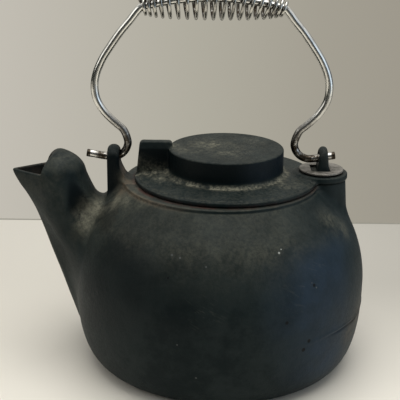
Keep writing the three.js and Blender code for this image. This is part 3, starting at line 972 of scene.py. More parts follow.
@dataclass
class KettleCasting:
    """The one-piece casting: pot, spout with its hood and beak, both ears, the post and its stub."""

    levels: Levels
    belly_height: float = 54.7
    foot_radius: float = 69.9
    dome_centre: Pair = (60.1, 109.0)
    dome_power: float = 1.85
    dome_turn: float = 0.735
    foot_power: float = 2.65
    rim_band: float = 1.9
    rim_rounds: Pair = (0.5, 0.7)
    wall: float = 4.5
    floor: float = 5.0
    mouth_radius: float = 50.0
    mouth_round: float = 0.7
    ledge: float = 5.0
    above_rim: float = 20.0
    table: Triple = (104, -10, 146)
    seam_level: float = 41.5
    seam_height: float = 0.35
    crack_depth: float = 0.7
    crack_drop: float = 1.3
    crack_width: float = 0.8
    seam_start: Pair = (40, 66)
    crack_start: Pair = (60, 72)
    seam_side: Pair = (0, 12)
    front_part: Pair = (-40, 46)
    rear_part: Triple = (34, 32, 70)
    spout_reach: float = 130.8
    beak_height: float = 122.0
    beak_round: float = 0.9
    hood_rise: float = 13.0
    hood_crown: float = 3.2
    spout_half_width: float = 23.0
    spout_wall: float = 3.5
    beak_wall: float = 2.0
    thinning_reach: float = 9.0
    thinning_start: float = 86.0
    crown_inset: float = 2.0
    spout_foot: float = 4.0
    spout_fillet: float = 9.0
    low_fillet: float = 2.5
    fillet_levels: Pair = (22, 72)
    channel_low: float = 25.0
    channel_fillets: Pair = (4.0, 3.0)
    flank_radius: float = 17.0
    flank_round: float = 1.1
    flank_place: Pair = (-82.5, 29.6)
    flank_lean: float = 0.17
    flank_fade: float = 5.0
    flank_low: Pair = (90, 102)
    flank_high: Pair = (129, 139)
    arch_reach: float = 111.0
    arch_lean: float = 9.5
    front_ear_thickness: float = 7.6
    front_ear_half_width: float = 8.5
    front_ear_crown: float = 6.9
    front_ear_foot: float = 4.0
    front_ear_root: float = 92.0
    front_ear_fillet: float = 4.0
    front_ear_round: float = 0.3
    front_ear_softness: Pair = (1.6, 1.9)
    post_radius: float = 15.4
    post_flare: float = 2.2
    post_depth: float = 28.5
    post_fillet: float = 3.5
    post_round: float = 1.0
    flare_limit: float = 1.2
    stub_round: float = 0.6
    stub_radius: float = 10.0
    rear_ear_thickness: float = 7.8
    rear_ear_top_thickness: float = 4.8
    rear_ear_half_width: float = 7.0
    rear_ear_crown: float = 7.0
    rear_ear_rounds: Pair = (0.7, 0.8)
    rear_ear_softness: float = 1.3

    # The spout's section from base to beak, then the hood's, as shares of its reach, width and height
    height_shares: Row = (0, 0.066, 0.17, 0.29, 0.43, 0.574, 0.705, 0.803, 0.869, 0.934, 1)
    front_shares: Row = (0.52, 0.63, 0.693, 0.735, 0.778, 0.825, 0.866, 0.902, 0.935, 0.974, 1)
    nose_shares: Row = (0.42, 0.5, 0.5, 0.49, 0.43, 0.36, 0.287, 0.226, 0.183, 0.139, 0.096)
    back_shares: Row = (0.3, 0.382, 0.436, 0.489, 0.543, 0.604, 0.669, 0.7225, 0.743, 0.766, 0.784)
    width_shares: Row = (0.55, 0.74, 0.9, 0.98, 1, 0.978, 0.935, 0.87, 0.826, 0.791, 0.761)
    hood_shares: Row = (0.31, 0.58, 0.79, 0.94, 1)
    hood_back_shares: Row = (0.786, 0.787, 0.787, 0.779, 0.76)

    def __post_init__(self) -> None:
        """Works out the tables that the distance function looks things up in."""
        low = self.beak_height * np.array(self.height_shares)
        hood = np.array(self.hood_shares)
        stations = np.append(low, self.beak_height + self.hood_rise * hood)
        nose = np.append(self.nose_shares, self.nose_shares[-1] * self._hood_width(hood))
        nose *= self.spout_half_width
        front = np.append(self.front_shares, np.ones(len(hood))) * self.spout_reach
        back = np.append(self.back_shares, self.hood_back_shares) * self.spout_reach
        self._nose_radius = curve_through(stations, nose)
        self._nose_x = curve_through(stations, nose - front)
        self._back_x = curve_through(stations, -back)
        places, radii = curve_through(low, np.array(self.width_shares) * self.spout_half_width)
        rise = np.linspace(0, 1, 60)[1:]
        self._back_radius = (np.append(places, self.beak_height + self.hood_rise * rise),
                             np.append(radii, radii[-1] * self._hood_width(rise)))
        self._outside = Turned(self._outer_outline(), *self.table)
        self._inside = Turned(self._inner_outline(), *self.table)

    def _hood_width(self, share: Array) -> Array:
        """Width of the hood at a share of its rise, over its width at the beak."""
        return (1 - share**1.7) ** 0.6

    def _outer_outline(self) -> Outline:
        """Outline of the pot as a full solid.

        Returns:
            Radius and height pairs from the base round to the top of the rim.
        """
        lv = self.levels
        belly = (lv.belly_radius, self.belly_height)
        foot = quarter(belly, (self.foot_radius, 0), self.foot_power)[::-1]
        dome = quarter(belly, self.dome_centre, self.dome_power, self.dome_turn)[1:]
        under = (lv.rim_radius, lv.rim_height - self.rim_band)
        edge, middle = (lv.rim_radius, lv.rim_height), (0, lv.rim_height)
        return [(0, 0), *foot, *dome[:-1], *rounded_corner(dome[-2], under, edge, self.rim_rounds[0]),
                *rounded_corner(under, edge, middle, self.rim_rounds[1]), middle]

    def _inner_outline(self) -> Outline:
        """Outline of the pot's cavity.

        Returns:
            Radius and height pairs from the floor up through the mouth.
        """
        lv = self.levels
        belly = (lv.belly_radius - self.wall, self.belly_height)
        foot = quarter(belly, (self.foot_radius - self.wall, self.floor), self.foot_power)[::-1]
        centre = (self.dome_centre[0] - self.wall, self.dome_centre[1] - self.wall / 2)
        dome = quarter(belly, centre, self.dome_power, self.dome_turn)[1:]
        shelf, top = lv.rim_height - self.ledge, lv.rim_height + self.above_rim
        return [(0, self.floor), *foot, *dome, (lv.rim_radius - self.wall, shelf),
                (self.mouth_radius, shelf), (self.mouth_radius, top), (0, top)]

    def _section(self, x: Array, y: Array, z: Array) -> Array:
        """Level distance to the spout's section at each height.

        Formula: two circles, a narrow nose and a wide back, and the straight tangents between them.
        Above the hood's top the back circle's radius goes on below 0.

        Args:
            x, y, z: places along X and Y, and heights.
        Returns:
            Distance within the level plane, negative inside.
        """
        closing, steepest = 1.5, 0.999
        nose_x = np.interp(z, *self._nose_x)
        nose_radius = np.interp(z, *self._nose_radius)
        over = np.maximum(z - self.beak_height - self.hood_rise, 0)
        back_radius = np.interp(z, *self._back_radius) - closing * over
        back_x = np.interp(z, *self._back_x)
        span = back_x - nose_x
        sine = np.clip((back_radius - nose_radius) / span, -steepest, steepest)
        cosine = np.sqrt(1 - sine**2)
        across, along = np.abs(y), back_x - x
        way = along * cosine - across * sine
        side = across * cosine + along * sine - back_radius
        near_back = np.hypot(across, along) - back_radius
        near_nose = np.hypot(across, along - span) - nose_radius
        return np.where(way < 0, near_back, np.where(way > span * cosine, near_nose, side))

    def _spout(self, x: Array, y: Array, z: Array) -> Array:
        """Distance to the spout and hood as if they were solid and not cut open.

        Formula: the mean of the level distances a little above and below, over the length of the
        gradient that their difference gives.

        Args:
            x, y, z: places along X and Y, and heights.
        Returns:
            Distance, negative inside.
        """
        probe = 0.4
        above, below = self._section(x, y, z + probe), self._section(x, y, z - probe)
        slope = (above - below) / (2 * probe)
        return (above + below) / 2 / np.sqrt(1 + slope**2)

    def _arch(self, x: Array, z: Array) -> Array:
        """Distance behind the arch over the beak.

        Formula: a quadratic curve that leans back more and more, solved for its place at each height.

        Args:
            x, z: places along X, and heights.
        Returns:
            Distance, negative behind the arch.
        """
        bend_across, bend_up = 0.13, 0.58
        share = np.clip((z - self.beak_height) / self.hood_rise, 0, 1)
        t = (bend_up - np.sqrt(np.maximum(bend_up**2 - (2 * bend_up - 1) * share, 0))) / (2 * bend_up - 1)
        place = self.arch_lean * (2 * bend_across * t * (1 - t) + t**2) - self.arch_reach
        slope = self.arch_lean * (2 * bend_across * (1 - 2 * t) + 2 * t)
        slope /= self.hood_rise * (2 * bend_up * (1 - 2 * t) + 2 * t)
        return (place - x) / np.sqrt(1 + slope**2)

    def _flank(self, x: Array, y: Array, z: Array) -> Array:
        """Distance to the two leaning rods that hollow the hood's flanks.

        Formula: on each side a round rod beside the spout, whose middle moves with the height, and
        which fades in and out through its radius.

        Args:
            x, y, z: places along X and Y, and heights.
        Returns:
            Distance, negative inside.
        """
        fade = self.flank_fade * (1 - smooth_step(z, *self.flank_low) + smooth_step(z, *self.flank_high))
        middle = self.flank_place[0] - self.flank_lean * (z - self.beak_height)
        return np.hypot(x - middle, np.abs(y) - self.flank_place[1]) - self.flank_radius + fade

    def _front_ear(self, x: Array, y: Array, z: Array) -> Array:
        """Distance to the plate that carries the bail in front.

        Formula: a slab with a thicker foot, cut to an arch and ended at its root.

        Args:
            x, y, z: places along X and Y, and heights.
        Returns:
            Distance, negative inside.
        """
        lv = self.levels
        half = self.front_ear_thickness / 2
        lean = smooth_step(z, lv.hinge_height - lv.hole_radius, lv.rim_height - 1)
        back = lv.front_ear_x + half + self.front_ear_foot * lean
        slab = common(x - back, lv.front_ear_x - half - x, self.front_ear_round)
        front = arch(y, z, self.front_ear_half_width, self.front_ear_crown, lv.hinge_height)
        least, more = self.front_ear_softness
        soft = least + more * smooth_step(z, lv.hinge_height, lv.hinge_height + self.front_ear_crown)
        return np.maximum(common(slab, front, soft), self.front_ear_root - z)

    def _rear_ear(self, x: Array, y: Array, z: Array) -> Array:
        """Distance to the plate that carries the bail behind.

        Formula: a slab that thins evenly towards its top, cut to an arch.

        Args:
            x, y, z: places along X and Y, and heights.
        Returns:
            Distance, negative inside.
        """
        lv = self.levels
        top = lv.hinge_height + self.rear_ear_crown
        share = (z - lv.post_top) / (top - lv.post_top)
        thinning = self.rear_ear_top_thickness - self.rear_ear_thickness
        side = np.abs(x - lv.rear_ear_x) - (self.rear_ear_thickness + thinning * share) / 2
        front = arch(y, z, self.rear_ear_half_width, self.rear_ear_crown, lv.hinge_height)
        return common(side, front, self.rear_ear_softness + smooth_step(z, lv.hinge_height, top))

    def _post(self, x: Array, y: Array, z: Array) -> Array:
        """Distance to the flared post and the stub that the lid turns on.

        Formula: two upright rods with rounded tops, the lower one wider the further down.

        Args:
            x, y, z: places along X and Y, and heights.
        Returns:
            Distance, negative inside.
        """
        lv = self.levels
        out = np.hypot(x - lv.pivot_x, y)
        flare = self.post_flare * np.clip((lv.post_top - z) / self.post_depth, 0, self.flare_limit)
        post = common(out - self.post_radius - flare, z - lv.post_top, self.post_round)
        post = np.maximum(post, lv.rim_height - self.post_depth - z)
        return np.minimum(post, common(out - self.stub_radius, z - lv.stub_top, self.stub_round))

    def _hole(self, x: Array, y: Array, z: Array, ear_x: float, depth: float) -> Array:
        """Distance to the hole through an ear.

        Formula: a level rod along X, ended at the depth to either side of the ear's middle.

        Args:
            x, y, z: places along X and Y, and heights.
            ear_x: the ear's middle.
            depth: half of the hole's length.
        Returns:
            Distance, negative in the hole.
        """
        bore = np.hypot(y, z - self.levels.hinge_height) - self.levels.hole_radius
        return np.maximum(bore, np.abs(x - ear_x) - depth)

    def _seam(self, x: Array, y: Array, z: Array) -> Array:
        """How far the casting seam stands out on the pot's near side.

        Formula: a bell curve over the height, and towards the rear a deeper one below it that is
        taken away, so that the ridge turns into a crack. Two sines make the line waver.

        Args:
            x, y, z: places along X and Y, and heights.
        Returns:
            Height of the seam, negative in the crack.
        """
        over = z - self.seam_level - 0.5 * np.sin(x * 0.21) - 0.3 * np.sin(y * 0.37 + 1)
        ridge = self.seam_height * smooth_step(x, *self.seam_start) * bell(over, 1)
        crack = self.crack_depth * smooth_step(x, *self.crack_start)
        crack = crack * bell(over + self.crack_drop, self.crack_width)
        return (ridge - crack) * smooth_step(-y, *self.seam_side)

    def distance(self, x: Array, y: Array, z: Array) -> Array:
        """Distance to the whole casting.

        Formula: pot, spout, ears and post joined with fillets, less the pot's cavity, the spout's
        channel and the two holes, with every new edge rounded. Spout, ears and post are worked out
        near them alone.

        Args:
            x: places along X.
            y: places along Y.
            z: heights.
        Returns:
            Distance in millimetres, negative in the metal.
        """
        out = np.hypot(x, y)
        solid = self._outside(out, z) - self._seam(x, y, z)
        hollow = self._inside(out, z)
        front = (x < self.front_part[0]) & (np.abs(y) < self.front_part[1])
        solid[front], hollow[front] = self._front_end(
            x[front], y[front], z[front], solid[front], hollow[front])
        ahead_of, beside, over = self.rear_part
        rear = (x > ahead_of) & (np.abs(y) < beside) & (z > over)
        solid[rear] = self._rear_end(x[rear], y[rear], z[rear], solid[rear])
        return cut(solid, hollow, self.mouth_round)

    def _front_end(self, x: Array, y: Array, z: Array, pot: Array, cavity: Array) -> tuple[Array, Array]:
        """Adds the spout and the front ear to the pot, and the channel to its cavity.

        Formula: the spout is its solid form less the flanks, cut open at the beak and under the
        arch. The channel is the same form, smaller by the wall, which thins towards the beak.

        Args:
            x, y, z: places along X and Y, and heights.
            pot: distance to the pot.
            cavity: distance to its cavity.
        Returns:
            Distance to the metal as a full solid, and distance to what is hollow.
        """
        beak, reach = self.beak_height, self.arch_reach
        form = self._spout(x, y, z)
        shell = cut(form, self._flank(x, y, z), self.flank_round)
        opened = np.minimum(z - beak, self._arch(x, z))
        spout = np.maximum(common(shell, opened, self.beak_round), self.spout_foot - z)
        growth = (self.spout_fillet - self.low_fillet) * smooth_step(z, *self.fillet_levels)
        solid = fillet(pot, spout, self.low_fillet + growth)
        solid = fillet(solid, self._front_ear(x, y, z), self.front_ear_fillet)
        thinning = smooth_step(-x, reach - self.thinning_reach, reach + self.thinning_reach)
        thinning = thinning * smooth_step(z, self.thinning_start, beak)
        inset = self.crown_inset
        crown = self.hood_crown * smooth_step(z, beak + inset, beak + self.hood_rise - inset)
        channel = form + self.spout_wall + (self.beak_wall - self.spout_wall) * thinning + crown
        channel = common(channel, self.channel_low - z, self.channel_fillets[0])
        hole = self._hole(x, y, z, self.levels.front_ear_x, self.front_ear_thickness)
        return solid, np.minimum(fillet(cavity, channel, self.channel_fillets[1]), hole)

    def _rear_end(self, x: Array, y: Array, z: Array, pot: Array) -> Array:
        """Adds the post, its stub and the drilled rear ear to the pot.

        Formula: the post is joined with a wide fillet and the ear with a narrow one.

        Args:
            x, y, z: places along X and Y, and heights.
            pot: distance to the pot.
        Returns:
            Distance to the metal as a full solid.
        """
        hole = self._hole(x, y, z, self.levels.rear_ear_x, self.rear_ear_thickness)
        ear = cut(self._rear_ear(x, y, z), hole, self.rear_ear_rounds[0])
        return fillet(fillet(pot, self._post(x, y, z), self.post_fillet), ear, self.rear_ear_rounds[1])

    def build(self, finish: bpy.types.Material) -> None:
        """Meshes and dresses the casting, which stands for the nodes kettle_body and spout.

        Args:
            finish: its material.
        """
        net = PolarNet(
            radii=spaced((3, 45, 6), (45, 48.8, 1.9), (48.8, 51.2, 0.6), (51.2, 57, 1.4), (57, 60.2, 1.0),
                         (60.2, 61.8, 0.5), (61.8, 80, 1.1), (80, 94, 1.3), (94, 134, 1.25)),
            angles=spaced((-24, 24, 1.0), (24, 154, 3.2), (154, 170, 1.0), (170, 190, 0.5), (190, 206, 1.0),
                          (206, 336, 3.2))[:-1],
            heights=spaced((-1.6, 2.4, 0.8), (2.4, 8, 1.1), (8, 38, 1.9), (38, 45, 0.6), (45, 100, 1.9),
                           (100, 113, 1.3), (113, 124, 0.55), (124, 140, 0.8)))
        made = net.mesh(self.distance)
        # Besides dust, wear, rust and dirt, these paint shade, a blue window light, the cheek's shadow and
        # hood and nose highlights
        made.shades |= {"worn": self._worn(made.points), "clean_and_shaded": self._clean_and_shaded(made.points),
                        "rust": self._rust(made.points), "painted_shade": self._painted_shade(made.points),
                        "dirt": self._dirt(made.points), "scuff": blots(made.points, SCUFFED),
                        "painted_window_blue": self._painted_window_blue(made.points)}
        piece = add_piece("kettle_casting", made, finish, Body.KETTLE)
        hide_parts("kettle_body", "spout")

    def _worn(self, points: Array) -> Array:
        """Rubbed pale at saddle, ear's foot and post's root, and painted highlight on nose and hood.

        Formula: the greatest of the blots, a faint level streak, a line down the spout's front and
        the hood's front.

        Args:
            points: the casting's points.
        Returns:
            A share per point.
        """
        x, y, z = points.T
        streak = 0.07 * bell(z - 96, 5) * (y < -40)
        # Painted highlight down the front ridge of the spout's nose
        nose = 0.35 * np.clip(-x - 0.42 * z - 72, 0, 1) * (np.abs(y) < 5) * (1 - smooth_step(z, 60, 100))
        # Painted light brightening the hood's front, on the side that faces the light
        hood = (1 - smooth_step(x, -92, -80)) * (0.05 + 0.07 * smooth_step(z, 90, 115))
        hood *= smooth_step(self._flank(x, y, z), 0.5, 4)
        return np.max([blots(points, RUBBED), streak, nose, hood], axis=0)

    def _clean_and_shaded(self, points: Array) -> Array:
        """Where little dust lies: both ears, the dome towards the rear, and the cheek as painted shadow.

        Formula: the greatest of these places' shares, each with soft edges.

        Args:
            points: the casting's points.
        Returns:
            A share per point.
        """
        x, _, z = points.T
        hood = 0.05 * (1 - smooth_step(x, -90, -82))
        ears = 0.8 * smooth_step(z, 114, 120) * (np.abs(x) > 50)
        dome = 0.92 * smooth_step(x, 28, 58) * (1 - smooth_step(z, 113, 116))
        return np.max([hood, ears, dome, blots(points, CHEEK_SHADOW_UNDUSTED)], axis=0)

    def _painted_window_blue(self, points: Array) -> Array:
        """Painted blue window light on the belly's near side towards the rear.

        Formula: the product of soft limits in height, towards the rear and towards the near side.

        Args:
            points: the casting's points.
        Returns:
            A share per point.
        """
        x, y, z = points.T
        level = smooth_step(z, 0, 24) * (1 - smooth_step(z, 84, 103))
        rearward = smooth_step(x + 0.3 * np.minimum(z - 60, 0), 14, 52)
        rearward = rearward * (1 - 0.85 * smooth_step(x, 64, 84))
        return rearward * smooth_step(-y, 8, 46) * level

    def _dirt(self, points: Array) -> Array:
        """Tan deposit between the front ear and the lid, along the rim beside it and on the near side.

        Formula: the greatest of the blots and a band along the rim that fades with the angle.

        Args:
            points: the casting's points.
        Returns:
            A share per point.
        """
        x, y, z = points.T
        turn = np.degrees(np.arctan2(y, x)) % 360
        near = 1 - smooth_step(np.abs(turn - 200), 16, 62)
        rim = bell(np.hypot(x, y) - 61.2, 1.3) * smooth_step(z, 112.5, 115)
        at_foot = blots(points, TAN_FOOT) * (z < 124)
        return np.max([0.75 * rim * near, at_foot, blots(points, TAN_SIDE)], axis=0)

    def _rust(self, points: Array) -> Array:
        """Rust on the rim beside the lid, and inside the pot and the spout.

        Formula: a bell curve across the rim just outside the lid, weaker towards the rear, plus
        even shares within.

        Args:
            points: the casting's points.
        Returns:
            A share per point.
        """
        x, y, z = points.T
        lv = self.levels
        beside_lid = np.hypot(x - lv.lid_centre_x, y) - lv.lid_radius - 0.6
        rim = bell(z - lv.rim_height, 0.6) * bell(beside_lid, 1.3) * (1 - 0.65 * smooth_step(x, -12, 26))
        within = (self._inside(np.hypot(x, y), z) < 0.6) & (z < lv.rim_height - 1)
        channel = (x < -80) & (self._spout(x, y, z) < -1.2) & (self._flank(x, y, z) > 1)
        return np.clip(0.8 * rim + 0.4 * within + 0.22 * channel, 0, 1)

    def _painted_shade(self, points: Array) -> Array:
        """Painted shade: stub under the washer, hood's hollow flanks, front ear's face, cheek and crack.

        Formula: the sum of these places' shares, each with soft edges, held at 1.

        Args:
            points: the casting's points.
        Returns:
            A share per point.
        """
        x, y, z = points.T
        lv = self.levels
        # Each share is painted shade: gap under the washer, flank hollows, ear face, cheek, crack
        stub = (np.hypot(x - lv.pivot_x, y) < self.stub_radius + 1) * bell(z - lv.stub_top, 0.7)
        flank = (1 - smooth_step(self._flank(x, y, z), 0.3, 1.6)) * smooth_step(z, 90, 100)
        ear = (x < -58) * (np.abs(x - lv.front_ear_x) < 7) * smooth_step(z, 106, 112)
        ear = ear * (1 - 0.7 * smooth_step(z, 133, 137))
        crack = self._seam(x, y, z) < -0.2
        return np.clip(stub + flank + ear + blots(points, CHEEK_SHADOW_DARK) + crack, 0, 1)


@dataclass
class SwivelLid:
    """The lid: a plate with a raised hollow disc, a tab to lift it by and an eye round the stub."""

    levels: Levels
    thickness: float = 3.3
    crown: float = 1.9
    step: float = 0.5
    step_inset: float = 2.8
    edge_round: float = 0.8
    step_round: float = 0.35
    disc_radius: float = 35.8
    disc_height: float = 20.3
    disc_wall: float = 4.3
    disc_round: float = 1.1
    disc_fillet: float = 2.2
    eye_radius: float = 16.4
    eye_thickness: float = 3.7
    eye_fillet: float = 3.0
    bore_radius: float = 10.5
    relief_radius: float = 15.9
    tab_half: float = 2.85
    tab_reach: float = 56.2
    tab_height: float = 24.2
    tab_taper: float = 2.4
    tab_round: float = 2.2
    tab_fillet: float = 1.4
    tab_side_round: float = 0.9
    eye_round: float = 0.8
    bore_round: float = 0.5
    relief_round: float = 0.3
    table: Triple = (62, -8, 32)

    def __post_init__(self) -> None:
        """Works out the table of the turned plate and disc."""
        low = self.levels.lid_underside
        plate_top = low + self.thickness
        inner = (self.disc_radius - self.disc_wall, low)
        edge, upper = (self.levels.lid_radius, low), (self.levels.lid_radius, plate_top - self.step)
        notch = (self.levels.lid_radius - self.step_inset, plate_top - self.step)
        rim, foot = (notch[0], plate_top), (self.disc_radius, plate_top + self.crown)
        top, middle = (self.disc_radius, low + self.disc_height), (0, low + self.disc_height)
        ceiling = middle[1] - self.disc_wall
        outline = [inner, *rounded_corner(inner, edge, upper, self.edge_round),
                   *rounded_corner(edge, upper, notch, self.edge_round), notch,
                   *rounded_corner(notch, rim, foot, self.step_round),
                   *rounded_corner(rim, foot, top, self.disc_fillet),
                   *rounded_corner(foot, top, middle, self.disc_round), middle,
                   (0, ceiling), (inner[0], ceiling)]
        reach, below, above = self.table
        self._turned = Turned(outline, reach, low + below, low + above)

    def distance(self, x: Array, y: Array, z: Array) -> Array:
        """Distance to the lid.

        Formula: the turned plate and disc joined to the eye and the tab with fillets, less the bore
        and the relief under the eye.

        Args:
            x: places along X.
            y: places along Y.
            z: heights.
        Returns:
            Distance in millimetres, negative in the metal.
        """
        lv = self.levels
        plate = self._turned(np.hypot(x - lv.lid_centre_x, y), z)
        from_pivot = np.hypot(x - lv.pivot_x, y)
        half = self.eye_thickness / 2
        level = np.abs(z - (lv.eye_underside + half)) - half
        eye = common(from_pivot - self.eye_radius, level, self.eye_round)
        solid = fillet(fillet(plate, eye, self.eye_fillet), self._tab(x, y, z), self.tab_fillet)
        solid = cut(solid, from_pivot - self.bore_radius, self.bore_round)
        relief = np.maximum(from_pivot - self.relief_radius, z - lv.eye_underside)
        return cut(solid, relief, self.relief_round)

    def _tab(self, x: Array, y: Array, z: Array) -> Array:
        """Distance to the lifting tab.

        Formula: a plate on edge whose outer end leans in, with two rounded upper corners.

        Args:
            x, y, z: places along X and Y, and heights.
        Returns:
            Distance, negative inside.
        """
        lv = self.levels
        low = lv.lid_underside + self.thickness / 2
        top = lv.lid_underside + self.tab_height
        rise = (z - low) / (top - low)
        outer = (lv.lid_centre_x - self.tab_reach + self.tab_taper * rise) - x
        inner = x - (lv.lid_centre_x - self.disc_radius + self.disc_wall / 2)
        outline = common(common(outer, z - top, self.tab_round), inner, self.tab_round)
        return common(np.maximum(outline, low - z), np.abs(y) - self.tab_half, self.tab_side_round)

    def build(self, finish: bpy.types.Material) -> None:
        """Meshes and dresses the lid, which stands for the node lid.

        Args:
            finish: its material.
        """
        net = PolarNet(
            radii=spaced((3, 27, 6), (27, 30.6, 1.8), (30.6, 32.4, 0.6), (32.4, 34.6, 1.1),
                         (34.6, 39, 0.55), (39, 53, 1.2), (53, 57.6, 0.5), (57.6, 78, 1.0)),
            angles=spaced((-26, 26, 1.0), (26, 168, 2.6), (168, 192, 0.7), (192, 334, 2.6))[:-1],
            heights=spaced((115.8, 123.4, 0.42), (123.4, 131.4, 1.3), (131.4, 142.2, 0.55)),
            centre_x=self.levels.lid_centre_x)
        made = net.mesh(self.distance)
        made.shades |= {"worn": self._worn(made.points), **self._dark(made.points)}
        piece = add_piece("lid_casting", made, finish, Body.LID)
        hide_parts("lid")

    def _worn(self, points: Array) -> Array:
        """Where the lid is dusty or rubbed: round the disc, on its face, and beside and below the tab.

        Formula: the greatest of the blots and of bell curves round the disc and along the tab.

        Args:
            points: the lid's points.
        Returns:
            A share per point.
        """
        x, y, z = points.T
        low = self.levels.lid_underside
        out = np.hypot(x - self.levels.lid_centre_x, y)
        on_plate = (z < low + 7) * (z > low + 1)
        ring = 0.95 * bell(out - self.disc_radius - 1.9, 1.9) * on_plate
        beside = bell(np.abs(y) - self.tab_half - 1.4, 1.1) * (x < -32) * (x > -55) * on_plate
        low_on_tab = 1 - smooth_step(z + 0.35 * (x + 33), low + 3, low + 13)
        speckled = 0.34 * (x < -33) * (np.abs(y) < self.tab_half + 1) * low_on_tab
        face = blots(points, DISC_FACE) * (z > low + self.disc_height - 0.5)
        return np.max([ring, face, blots(points, PLATE_SPOTS) * on_plate, beside, speckled], axis=0)

    def _dark(self, points: Array) -> dict[str, Array]:
        """Rust under the lid and at its edge, painted shade on the upright faces, and painted blue light
        there.

        Formula: soft bands over the height, and a ring of painted shade where the washer lies on the eye.

        Args:
            points: the lid's points.
        Returns:
            The shades of rust, painted shade and painted blue window light.
        """
        x, y, z = points.T
        lv, low = self.levels, self.levels.lid_underside
        at_edge = np.hypot(x - lv.lid_centre_x, y) > lv.lid_radius - 3
        rust = 0.4 * bell(z - low, 1.3) * at_edge + 0.5 * (z < low + 0.2)
        # Painted shade on the disc's upright sides, which face away from the light
        painted_shade = smooth_step(z, low + 7, low + 9) * (1 - smooth_step(z, low + 19.2, low + 20.2))
        on_eye = z > lv.eye_underside + self.eye_thickness - 0.9
        # Painted shade under the washer, on the eye's top
        under_washer = bell(np.hypot(x - lv.pivot_x, y) - 13.0, 1.9) * on_eye
        return {"rust": rust.clip(0, 1), "painted_shade": np.maximum(painted_shade, under_washer),
                "painted_window_blue": 0.3 * painted_shade * smooth_step(x, 4, 30)}


@dataclass
class SlottedWasher:
    """The washer that passes over the rear ear and keeps the lid's eye down."""

    levels: Levels
    radius: float = 13.8
    thickness: float = 1.6
    gap: float = 0.3
    slot_width: float = 11.5
    slot_half_length: float = 7.6
    slot_end: float = 67.6
    slot_corner: float = 0.9
    slot_round: float = 0.35
    edge_round: float = 0.45

    def distance(self, x: Array, y: Array, z: Array) -> Array:
        """Distance to the washer.

        Formula: a round plate with rounded edges, less its slot.

        Args:
            x, y, z: places along X and Y, and heights.
        Returns:
            Distance, negative in the metal.
        """
        low, half = self.levels.stub_top + self.gap, self.thickness / 2
        out = np.hypot(x - self.levels.pivot_x, y) - self.radius
        plate = common(out, np.abs(z - low - half) - half, self.edge_round)
        half = self.slot_width / 2
        across = np.abs(x - (self.slot_end - half)) - half
        slot = common(across, np.abs(y) - self.slot_half_length, self.slot_corner)
        return cut(plate, slot, self.slot_round)

    def build(self, finish: bpy.types.Material) -> None:
        """Meshes and dresses the washer, which stands for the node retaining_washer.

        Args:
            finish: its material.
        """
        low = self.levels.stub_top + self.gap
        net = PolarNet(radii=spaced((2, 12.6, 0.45), (12.6, 14.4, 0.3)), angles=spaced((0, 360, 2.5))[:-1],
                       heights=spaced((low - 0.7, low + 2.3, 0.2)), centre_x=self.levels.pivot_x)
        made = net.mesh(self.distance)
        # Painted shade along the underside, where the washer hangs over the eye
        under = 1 - smooth_step(made.points[:, 2], low + 0.35, low + 0.75)
        made.shades = {"edge": made.shades["edge"], "under": under}
        piece = add_piece("slotted_washer", made, finish, Body.KETTLE)
        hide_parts("retaining_washer")


